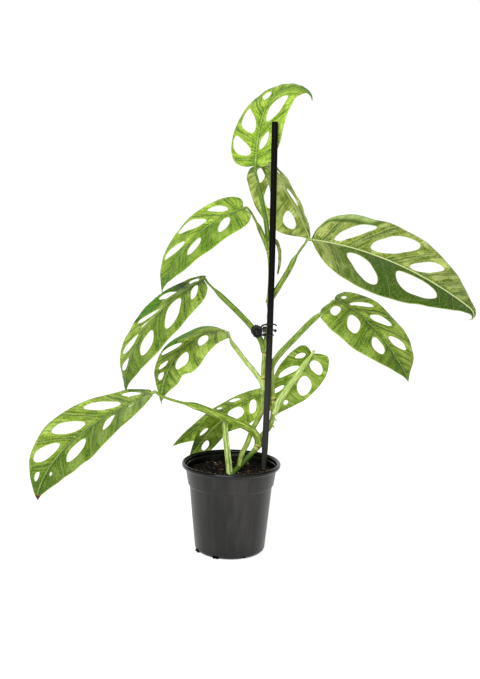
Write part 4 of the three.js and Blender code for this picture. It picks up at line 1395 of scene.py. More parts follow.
@dataclass
class AerialRoot:
    """The short root that hangs from the top node."""

    route: tuple[Triple, ...]
    thick: float = 2.1
    thin: float = 0.9

    def build(self, finish: StalkFinish) -> None:
        """Builds and dresses the root.

        Args:
            finish: its finish.
        """
        route = Route(list(self.route))

        def radius(share: Array, angle: Array, centres: Array) -> Array:
            """Radii of all rings."""
            size = self.thick + (self.thin - self.thick) * share ** 3
            tip = np.sqrt(np.clip(1.02 - smoothstep(share, 0.93, 1) ** 2, 0, 1))
            return size * tip * (1 + 0.07 * np.sin(share * 34 + np.sin(angle * 2)) + 0.03 * np.sin(angle * 5))

        def marks(share: Array, angle: Array, centres: Array) -> dict[str, Array]:
            """Values that the finish reads."""
            return {"groove": smoothstep(share, 0.7, 1.0) * 1.4}

        piece = Tube(route, 22, 0.6).mesh("aerial_root_tip", radius, marks)
        dress(piece, finish.build("root_skin"), finish.slot, Body.PLANT, "aerial_root")


@dataclass
class Stake:
    """The black plastic rod, pointed below and cut square on top."""

    route: tuple[Triple, ...]
    radius: float = 3.75
    tip: float = 1.2
    taper_end: float = 125.0
    dark_gloss_heights: tuple[float, float] = (180.0, 330.0)

    def build(self, finish: PlasticFinish) -> None:
        """Builds and dresses the stake.

        Args:
            finish: its finish.
        """
        route = Route(list(self.route))
        start = self.route[0][2]

        def radius(share: Array, angle: Array, centres: Array) -> Array:
            """Radii of all rings."""
            taper = np.clip((centres[:, 2] - start) / (self.taper_end - start), 0, 1)[:, None]
            size = self.tip + (self.radius - self.tip) * taper
            chamfer = 0.5 * smoothstep(share * route.length, route.length - 0.9, route.length)
            return size - chamfer + 0.05 * np.cos(14 * angle) * taper

        def marks(share: Array, angle: Array, centres: Array) -> dict[str, Array]:
            """Values that the finish reads."""
            # Darker and glossier upwards between two heights, lighter and duller below.
            return {"dark_gloss": smoothstep(centres[:, 2], *self.dark_gloss_heights)[:, None] + 0 * angle}

        piece = Tube(route, 56, 0.9).mesh("stake_rod", radius, marks)
        dress(piece, finish.build("stake_skin"), finish.slot, Body.PLANT, "stake")


# ---- Pot and soil ----


def deselect() -> None:
    """Leaves nothing selected."""
    if bpy.context.object and bpy.context.object.mode != "OBJECT":
        bpy.ops.object.mode_set(mode="OBJECT")
    bpy.ops.object.select_all(action="DESELECT")


def pick(piece: Piece) -> None:
    """Selects one piece alone and makes it active.

    Args:
        piece: the object.
    """
    deselect()
    piece.select_set(True)
    bpy.context.view_layer.objects.active = piece


def smooth_below(piece: Piece, degrees: float) -> None:
    """Shades a piece smooth, apart from the edges that bend by more."""
    pick(piece)
    bpy.ops.object.shade_smooth_by_angle(angle=math.radians(degrees))


def metres(*values: float) -> tuple[float, ...]:
    """Turns millimetres into metres."""
    return tuple(value * MM for value in values)


def join(target: Piece, others: list[Piece]) -> None:
    """Joins pieces into one.

    Args:
        target: the piece that stays.
        others: the pieces that it takes in.
    """
    pick(target)
    for piece in others:
        piece.select_set(True)
    bpy.ops.object.join()


def added(name: str) -> Piece:
    """Names the primitive just added and moves its place into its mesh.

    Args:
        name: its name.

    Returns:
        The object.
    """
    piece = bpy.context.object
    piece.name = name
    bpy.ops.object.transform_apply(location=True, rotation=True, scale=True)
    return piece


def apply_modifier(piece: Piece, kind: str, **settings: object) -> None:
    """Adds a modifier with its settings and applies it.

    Args:
        piece: the object.
        kind: the modifier's type.
        settings: its properties by name.
    """
    pick(piece)
    modifier = piece.modifiers.new(kind.lower(), kind)
    for name, value in settings.items():
        setattr(modifier, name, value)
    bpy.ops.object.modifier_apply(modifier=modifier.name)


def cut(piece: Piece, cutter: Piece) -> None:
    """Takes the cutter's volume out of the piece and deletes the cutter."""
    apply_modifier(piece, "BOOLEAN", operation="DIFFERENCE", object=cutter, solver="EXACT")
    bpy.data.objects.remove(cutter)


def rounded(profile: list[tuple[float, float]], radius: float, steps: int = 4) -> list[tuple[float, float]]:
    """Rounds the inner corners of a profile.

    Args:
        profile: points of radius and height.
        radius: how far from a corner the rounding starts.
        steps: points on each rounding.

    Returns:
        The longer profile.
    """
    points = [Vector(p) for p in profile]
    result = [profile[0]]
    for before, corner, after in zip(points, points[1:], points[2:]):
        back = min(radius, (before - corner).length * 0.45)
        ahead = min(radius, (after - corner).length * 0.45)
        start = corner + (before - corner).normalized() * back
        end = corner + (after - corner).normalized() * ahead
        for step in range(steps + 1):
            t = step / steps
            result.append(tuple(start * (1 - t) ** 2 + corner * 2 * t * (1 - t) + end * t * t))
    return [*result, profile[-1]]


@dataclass
class Pot:
    """The thin-walled nursery pot: rolled rim, collar step, tapering wall, rounded foot, drains."""

    height: float = 110.0
    rim: float = 60.0
    rim_depth: float = 5.5
    neck: float = 55.4
    collar: float = 52.2
    collar_height: float = 84.0
    step: float = 50.3
    step_height: float = 82.0
    foot: float = 43.0
    foot_round: float = 6.0
    wall: float = 1.3
    floor: float = 1.8
    drains: int = 8
    drain_width: float = 7.0
    drain_height: float = 4.5
    drain_inner: float = 37.5
    segments: int = 160

    def profile(self) -> list[tuple[float, float]]:
        """Draws the wall from the underside, over the rim, to the inner floor.

        Returns:
            Points of radius and height.
        """
        lip = self.height - self.rim_depth
        arc = [
            (self.foot - self.foot_round * (1 - math.sin(a)), self.foot_round * (1 - math.cos(a)))
            for a in (math.pi / 16 * i for i in range(1, 9))
        ]
        outer = [
            (24, 0.6), (26, 0.6), (27.5, 0), (self.foot - self.foot_round, 0), *arc,
            (46.6, 42), (self.step, self.step_height), (self.collar, self.collar_height - 0.5),
            (self.neck, lip - 0.8), (self.rim - 1.2, lip), (self.rim, lip + 1.2),
            (self.rim, self.height - 1.4), (self.rim - 1.4, self.height), (self.rim - 2.6, self.height),
            (self.neck - 0.2, self.height - 1.8), (self.neck - 0.5, lip), (self.neck - self.wall - 0.1, lip - 0.7),
        ]
        thin = self.wall
        inner = [
            (self.collar - thin, self.collar_height), (self.step - thin, self.step_height),
            *[(radius - thin, max(height, self.floor)) for radius, height in reversed(arc)],
            (30, self.floor),
        ]
        return rounded([*outer, *inner], 0.7)

    def build(self, finish: PlasticFinish) -> None:
        """Builds and dresses the pot: a ring pulled along the profile, with its drains cut out.

        Args:
            finish: its finish.
        """
        pot = self._shell()
        cut(pot, self._drains())
        smooth_below(pot, 40)
        x, y, z = np.array([v.co for v in pot.data.vertices]).T / MM
        lip = self.height - self.rim_depth
        heights = (0, self.step_height, self.collar_height, lip - 0.5)
        wall = np.interp(z, heights, (self.foot, self.step, self.collar, self.neck))
        # Inside the pot the darker colour is painted shade; the rim is darker and glossier.
        inside = (np.hypot(x, y) < wall - self.wall / 2) & (z > self.floor / 2)
        on_rim = z > lip - 0.4
        add_attribute(pot, "dark_gloss", (inside | on_rim).astype(float))
        dress(pot, finish.build("pot_skin"), finish.slot, Body.PLANT, "pot")

    def _shell(self) -> Piece:
        """Pulls a ring along the profile.

        Returns:
            The pot, closed all round.
        """
        deselect()
        profile = self.profile()
        radius, height = profile[0]
        bpy.ops.mesh.primitive_circle_add(
            vertices=self.segments, radius=radius * MM, location=metres(0, 0, height), fill_type="NGON",
        )
        pot = added("pot_shell")
        bpy.ops.object.mode_set(mode="EDIT")
        bpy.ops.mesh.select_all(action="SELECT")
        for wide, high in profile[1:]:
            bpy.ops.mesh.extrude_edges_move(TRANSFORM_OT_translate={"value": metres(0, 0, high - height)})
            grow = wide / radius
            bpy.ops.transform.resize(value=(grow, grow, 1), center_override=(0, 0, 0))
            radius, height = wide, high
        bpy.ops.mesh.edge_face_add()
        bpy.ops.mesh.select_all(action="SELECT")
        bpy.ops.mesh.remove_doubles(threshold=0.00001)
        bpy.ops.mesh.normals_make_consistent(inside=False)
        bpy.ops.object.mode_set(mode="OBJECT")
        return pot

    def _drains(self) -> Piece:
        """Makes the cutter of the drain slots.

        Returns:
            All slots as one object.
        """
        cutters = []
        outer, low, high = self.foot + 4, -2, self.drain_height
        for number in range(self.drains):
            angle = (number + 0.5) / self.drains * 2 * math.pi
            reach = (self.drain_inner + outer) / 2
            deselect()
            bpy.ops.mesh.primitive_cube_add(
                size=1, rotation=(0, 0, angle),
                location=metres(reach * math.cos(angle), reach * math.sin(angle), (low + high) / 2),
                scale=metres(outer - self.drain_inner, self.drain_width, high - low),
            )
            cutters.append(added(f"drain_{number}"))
        join(cutters[0], cutters[1:])
        apply_modifier(cutters[0], "BEVEL", width=0.0012, segments=4, limit_method="NONE")
        return cutters[0]


@dataclass
class Soil:
    """The potting mix: a filled body with an uneven crumbly top and loose bits on it."""

    top: float = 97.0
    relief: float = 1.5
    edge: float = 52.4
    rings: int = 74
    spokes: int = 200
    crumbs: int = 1500
    fibre_above: float = 0.8
    grain_above: float = 0.975
    seed: int = 7
    spills: tuple[float, ...] = (202.5, 247.5)
    spill_reach: float = 42.2

    def _surface(self, x: Array, y: Array) -> Array:
        """Shapes the uneven top.

        Args:
            x: places to the right.
            y: places to the back.

        Returns:
            The heights there.
        """
        broad = self.relief * np.sin(x * 0.21 + 1) * np.cos(y * 0.17)
        lumps = 0.9 * np.sin(x * 0.83 + 2 * np.sin(y * 0.41)) * np.sin(y * 0.77 + 1.7 * np.sin(x * 0.37))
        grit = 0.45 * np.sin(x * 2.3 + y * 1.1) * np.sin(y * 2.7 - x * 0.9)
        return self.top + broad + lumps + grit

    def build(self, finish: SoilFinish) -> None:
        """Builds and dresses the soil.

        Args:
            finish: its finish.
        """
        angles = np.arange(self.spokes) / self.spokes * 2 * math.pi
        radii = self.edge * np.linspace(1, 0.02, self.rings)
        x, y = radii[:, None] * np.cos(angles), radii[:, None] * np.sin(angles)
        z = self._surface(x, y)
        z[0] = self.top - 0.6
        below = [(49.4, 80), (48, 76), (43.5, 20), (40.5, 5), (36, 2.3)]
        rings = [np.stack([r * np.cos(angles), r * np.sin(angles), 0 * angles + h], -1) for r, h in reversed(below)]
        rings += list(np.stack([x, y, z], -1))
        vertices = np.vstack([*rings, [[0, 0, below[-1][1]], [0, 0, float(z[-1].mean())]]])
        soil = new_mesh("soil_mix", vertices, tube_faces(len(rings) - 1, self.spokes))
        add_attribute(soil, "tint", np.zeros(len(vertices)))
        join(soil, [self._crumbs(), *self._lumps()])
        dress(soil, finish.build("soil_skin"), finish.slot, Body.PLANT, "soil")

    def _lumps(self) -> list[Piece]:
        """Pushes lumps of mix out through the drains at the headings in spills.

        Returns:
            The lumps.
        """
        draw = random.Random(self.seed + 1)
        lumps = []
        for number, heading in enumerate(self.spills):
            for part, aside in enumerate((-2.2, 0.3, 2.4)):
                size = draw.uniform(1.9, 2.6)
                angle = math.radians(heading) + aside / self.spill_reach
                deselect()
                reach = self.spill_reach
                bpy.ops.mesh.primitive_ico_sphere_add(
                    subdivisions=3, radius=size * MM, rotation=(draw.uniform(0, 3), draw.uniform(0, 3), 0),
                    location=metres(reach * math.cos(angle), reach * math.sin(angle), size + 0.1 + 0.6 * draw.random()),
                )
                lump = added(f"spill_{number}_{part}")
                for vertex in lump.data.vertices:
                    vertex.co *= draw.uniform(0.86, 1.02)
                add_attribute(lump, "tint", np.full(len(lump.data.vertices), 0.1))
                lumps.append(lump)
        return lumps

    def _crumbs(self) -> Piece:
        """Strews loose crumbs, bark fibres and pale grains on the top.

        Returns:
            All of them as one object.
        """
        draw = random.Random(self.seed)
        deselect()
        bpy.ops.mesh.primitive_ico_sphere_add(subdivisions=1, radius=1)
        small = added("crumb")
        pattern = np.array([v.co for v in small.data.vertices])
        triangles = np.array([p.vertices for p in small.data.polygons])
        bpy.data.objects.remove(small)
        places, faces, tints = [], [], []
        for number in range(self.crumbs):
            reach = (self.edge - 2.5) * math.sqrt(draw.random())
            angle = draw.uniform(0, 2 * math.pi)
            size = 0.5 + 2.0 * draw.random() ** 2.5
            tint = draw.random()
            grain = tint > self.grain_above
            fibre = self.fibre_above < tint <= self.grain_above
            stretch = (2.6, 0.5, 0.45) if fibre else (draw.uniform(0.8, 1.4), 1, draw.uniform(0.6, 1))
            turn = Matrix.Rotation(draw.uniform(0, 6.3), 3, "Z") @ Matrix.Rotation(draw.uniform(-0.5, 0.5), 3, "Y")
            shaken = pattern * np.array([[draw.uniform(0.75, 1.25)] for _ in pattern])
            spot = shaken * np.array(stretch) * size * (0.6 if grain else 1) @ np.array(turn).T
            x, y = reach * math.cos(angle), reach * math.sin(angle)
            height = float(self._surface(np.array(x), np.array(y)))
            faces.extend((triangles + len(pattern) * number).tolist())
            places.append(spot + [x, y, height + size * 0.2])
            tints.extend([0.9 if grain else 0.55 if fibre else draw.uniform(0, 0.35)] * len(pattern))
        crumbs = new_mesh("crumbs", np.vstack(places), faces)
        add_attribute(crumbs, "tint", np.array(tints))
        return crumbs


# ---- Spring clip ----


@dataclass
class Clip:
    """The small black spring clip: two jaws with beaded round pads, a pin and a spring."""

    pivot: Triple = (36.6, 2.6, 270.0)
    front_heading: float = 216.0
    rear_heading: float = 155.0
    pad_reach: float = 10.7
    pad_radius: float = 6.8
    pad_depth: float = 2.0
    beads: int = 14
    bead_radius: float = 1.0
    arm_depth: float = 1.8
    knuckle: float = 2.3
    pin: float = 0.9
    pin_length: float = 12.6
    claw: float = 1.0
    front_knuckles: tuple[tuple[float, float], ...] = ((264.2, 267.2), (272.8, 275.8))
    rear_knuckles: tuple[tuple[float, float], ...] = ((269.9, 272.4),)
    top_claw: tuple[Triple, ...] = (
        (31.6, -1.4, 274.4), (33.6, -0.5, 277.2), (36.8, 1.1, 278.2), (41, 3.4, 278.6),
        (45, 5, 278.5), (49, 7.8, 277.8), (51.4, 11, 275.6),
    )
    bottom_claw: tuple[Triple, ...] = (
        (31.6, -1.4, 266.4), (35, 0.1, 265.6), (40, 3, 265.4), (44.6, 4.9, 265.2), (48.4, 7.2, 265.2),
    )
    rear_claw: tuple[Triple, ...] = (
        (36.2, 5, 271.2), (33.8, 8.6, 271.4), (32.6, 15, 271.4), (35.4, 21.8, 271), (41, 23.3, 270.4),
        (46.2, 21.6, 269.8), (50, 17, 269.2),
    )
    ball: float = 1.9
    spring_radius: float = 1.5
    spring_wire: float = 0.28
    spring_base: float = 267.75
    spring_pitch: float = 0.64
    spring_turns: float = 2.5

    def _cylinder(self, name: str, radius: float, low: float, high: float) -> Piece:
        """Makes an upright cylinder about the hinge line with softened edges.

        Args:
            name: the object's name.
            radius: its radius.
            low: height of its lower end.
            high: height of its upper end.

        Returns:
            The object.
        """
        deselect()
        x, y, _ = self.pivot
        bpy.ops.mesh.primitive_cylinder_add(
            vertices=32, radius=radius * MM, depth=(high - low) * MM, location=metres(x, y, (low + high) / 2),
        )
        piece = added(name)
        apply_modifier(piece, "BEVEL", width=0.0002, segments=2, limit_method="ANGLE")
        return piece

    def _at_heading(self, heading: float) -> Matrix:
        """Turns a shape built along +X from the pivot to a heading."""
        return Matrix.Translation(Vector(self.pivot) * MM) @ Matrix.Rotation(math.radians(heading), 4, "Z")

    def _pad(self, name: str, heading: float) -> Piece:
        """Makes a dished round pad with beads along its edge.

        Args:
            name: the object's name.
            heading: direction of the pad from the pivot, in degrees.

        Returns:
            The object.
        """
        deselect()
        bpy.ops.mesh.primitive_cylinder_add(
            vertices=48, radius=self.pad_radius * MM, depth=self.pad_depth * MM,
            location=metres(self.pad_reach, 0, 0), rotation=(math.pi / 2, 0, 0),
        )
        pad = added(name)
        bpy.ops.object.mode_set(mode="EDIT")
        for way in (1, -1):
            shape = bmesh.from_edit_mesh(pad.data)
            for face in shape.faces:
                face.select_set(face.normal.y * way > 0.99)
            bmesh.update_edit_mesh(pad.data)
            bpy.ops.mesh.inset(thickness=0.0012)
            bpy.ops.mesh.inset(thickness=0.0007)
            bpy.ops.transform.translate(value=(0, -0.00055 * way, 0))
            bpy.ops.mesh.inset(thickness=0.0022)
            bpy.ops.mesh.inset(thickness=0.0004)
            bpy.ops.transform.translate(value=(0, 0.0005 * way, 0))
        bpy.ops.object.mode_set(mode="OBJECT")
        apply_modifier(pad, "BEVEL", width=0.00022, segments=3, limit_method="ANGLE")
        beads = []
        circle = self.pad_radius - 0.25
        for number in range(self.beads):
            angle = number / self.beads * 2 * math.pi
            deselect()
            bpy.ops.mesh.primitive_uv_sphere_add(
                segments=14, ring_count=10, radius=self.bead_radius * MM, scale=(1, 1.25, 1),
                location=metres(self.pad_reach + circle * math.cos(angle), 0, circle * math.sin(angle)),
            )
            beads.append(added(f"{name}_bead_{number}"))
        join(pad, beads)
        pad.data.transform(self._at_heading(heading))
        return pad

    def _arm(self, name: str, heading: float, start: float, end: float, low: float, high: float) -> Piece:
        """Makes a short plate between the knuckles and the pad.

        Args:
            name: the object's name.
            heading: its direction from the pivot, in degrees.
            start: distance from the pivot to its near end.
            end: distance from the pivot to its far end.
            low: height of its lower edge.
            high: height of its upper edge.

        Returns:
            The object.
        """
        deselect()
        bpy.ops.mesh.primitive_cube_add(
            size=1, location=metres((start + end) / 2, 0, (low + high) / 2 - self.pivot[2]),
            scale=metres(end - start, self.arm_depth, high - low),
        )
        arm = added(name)
        apply_modifier(arm, "BEVEL", width=0.0003, segments=3, limit_method="NONE")
        arm.data.transform(self._at_heading(heading))
        return arm

    def _claw(self, name: str, route: tuple[Triple, ...]) -> Piece:
        """Makes a curved finger that narrows to a round tip.

        Args:
            name: the object's name.
            route: the places that it passes.

        Returns:
            The object.
        """
        line = Route(list(route))

        def radius(share: Array, angle: Array, centres: Array) -> Array:
            """Radii of all rings."""
            tip = np.sqrt(np.clip(1.01 - smoothstep(share, 0.955, 1.0) ** 2, 0, 1))
            return self.claw * (1.05 - 0.2 * share) * tip + 0 * angle

        return Tube(line, 20, 0.35).mesh(name, radius)

    def _jaw(self, name: str, heading: float, knuckles: tuple, claws: tuple) -> Piece:
        """Makes a jaw with its pad, arms, knuckles and claws.

        Args:
            name: the object's name.
            heading: direction of its pad from the pivot, in degrees.
            knuckles: lowest and highest height of each knuckle.
            claws: the claws' routes.

        Returns:
            The object.
        """
        low, high = min(k[0] for k in knuckles), max(k[1] for k in knuckles)
        jaw = self._pad(name, heading)
        parts = [self._arm(f"{name}_bridge", heading, 4.4, 6, low, high)]
        for number, (bottom, top) in enumerate(knuckles):
            knuckle = self._cylinder(f"{name}_knuckle_{number}", self.knuckle, bottom, top)
            web = self._arm(f"{name}_web_{number}", heading, 1.4, 5, bottom, top)
            join(knuckle, [web])
            cut(knuckle, self._cylinder("bore", self.pin + 0.3, bottom - 1, top + 1))
            parts.append(knuckle)
        for number, route in enumerate(claws):
            parts.append(self._claw(f"{name}_claw_{number}", route))
        join(jaw, parts)
        return jaw

    def _coil(self) -> Piece:
        """Winds the torsion spring about the pin.

        Returns:
            The object.
        """
        x, y, _ = self.pivot
        turns = np.linspace(0, self.spring_turns, 61)
        coil = [
            (
                x + self.spring_radius * math.cos(t * 2 * math.pi), y + self.spring_radius * math.sin(t * 2 * math.pi),
                self.spring_base + self.spring_pitch * t,
            )
            for t in turns
        ]

        def radius(share: Array, angle: Array, centres: Array) -> Array:
            """Radii of all rings."""
            return self.spring_wire + 0 * share

        return Tube(Route(coil), 12, 0.3).mesh("clip_coil", radius)

    def build(self, plastic: PlasticFinish, steel: SteelFinish) -> None:
        """Builds and dresses both jaws, the pin and the spring.

        Args:
            plastic: the jaws' finish.
            steel: the finish of the pin and the spring.
        """
        front = self._jaw("clip_front", self.front_heading, self.front_knuckles, (self.top_claw, self.bottom_claw))
        rear = self._jaw("clip_rear", self.rear_heading, self.rear_knuckles, (self.rear_claw,))
        deselect()
        bpy.ops.mesh.primitive_uv_sphere_add(
            segments=28, ring_count=18, radius=self.ball * MM, location=metres(*self.rear_claw[-1]),
        )
        join(rear, [added("clip_rear_ball")])
        z = self.pivot[2]
        pin = self._cylinder("clip_axle", self.pin, z - self.pin_length / 2, z + self.pin_length / 2)
        for piece in (front, rear, pin):
            smooth_below(piece, 35)
        black, bright = plastic.build("clip_skin"), steel.build("steel_skin")
        dress(front, black, plastic.slot, Body.FRONT_JAW, "clip_front_jaw")
        dress(rear, black, plastic.slot, Body.PLANT, "clip_rear_jaw")
        dress(pin, bright, steel.slot, Body.PLANT, "clip_pin")
        dress(self._coil(), bright, steel.slot, Body.PLANT, "clip_spring")


# ---- The leaves, numbered from the lowest left one ----

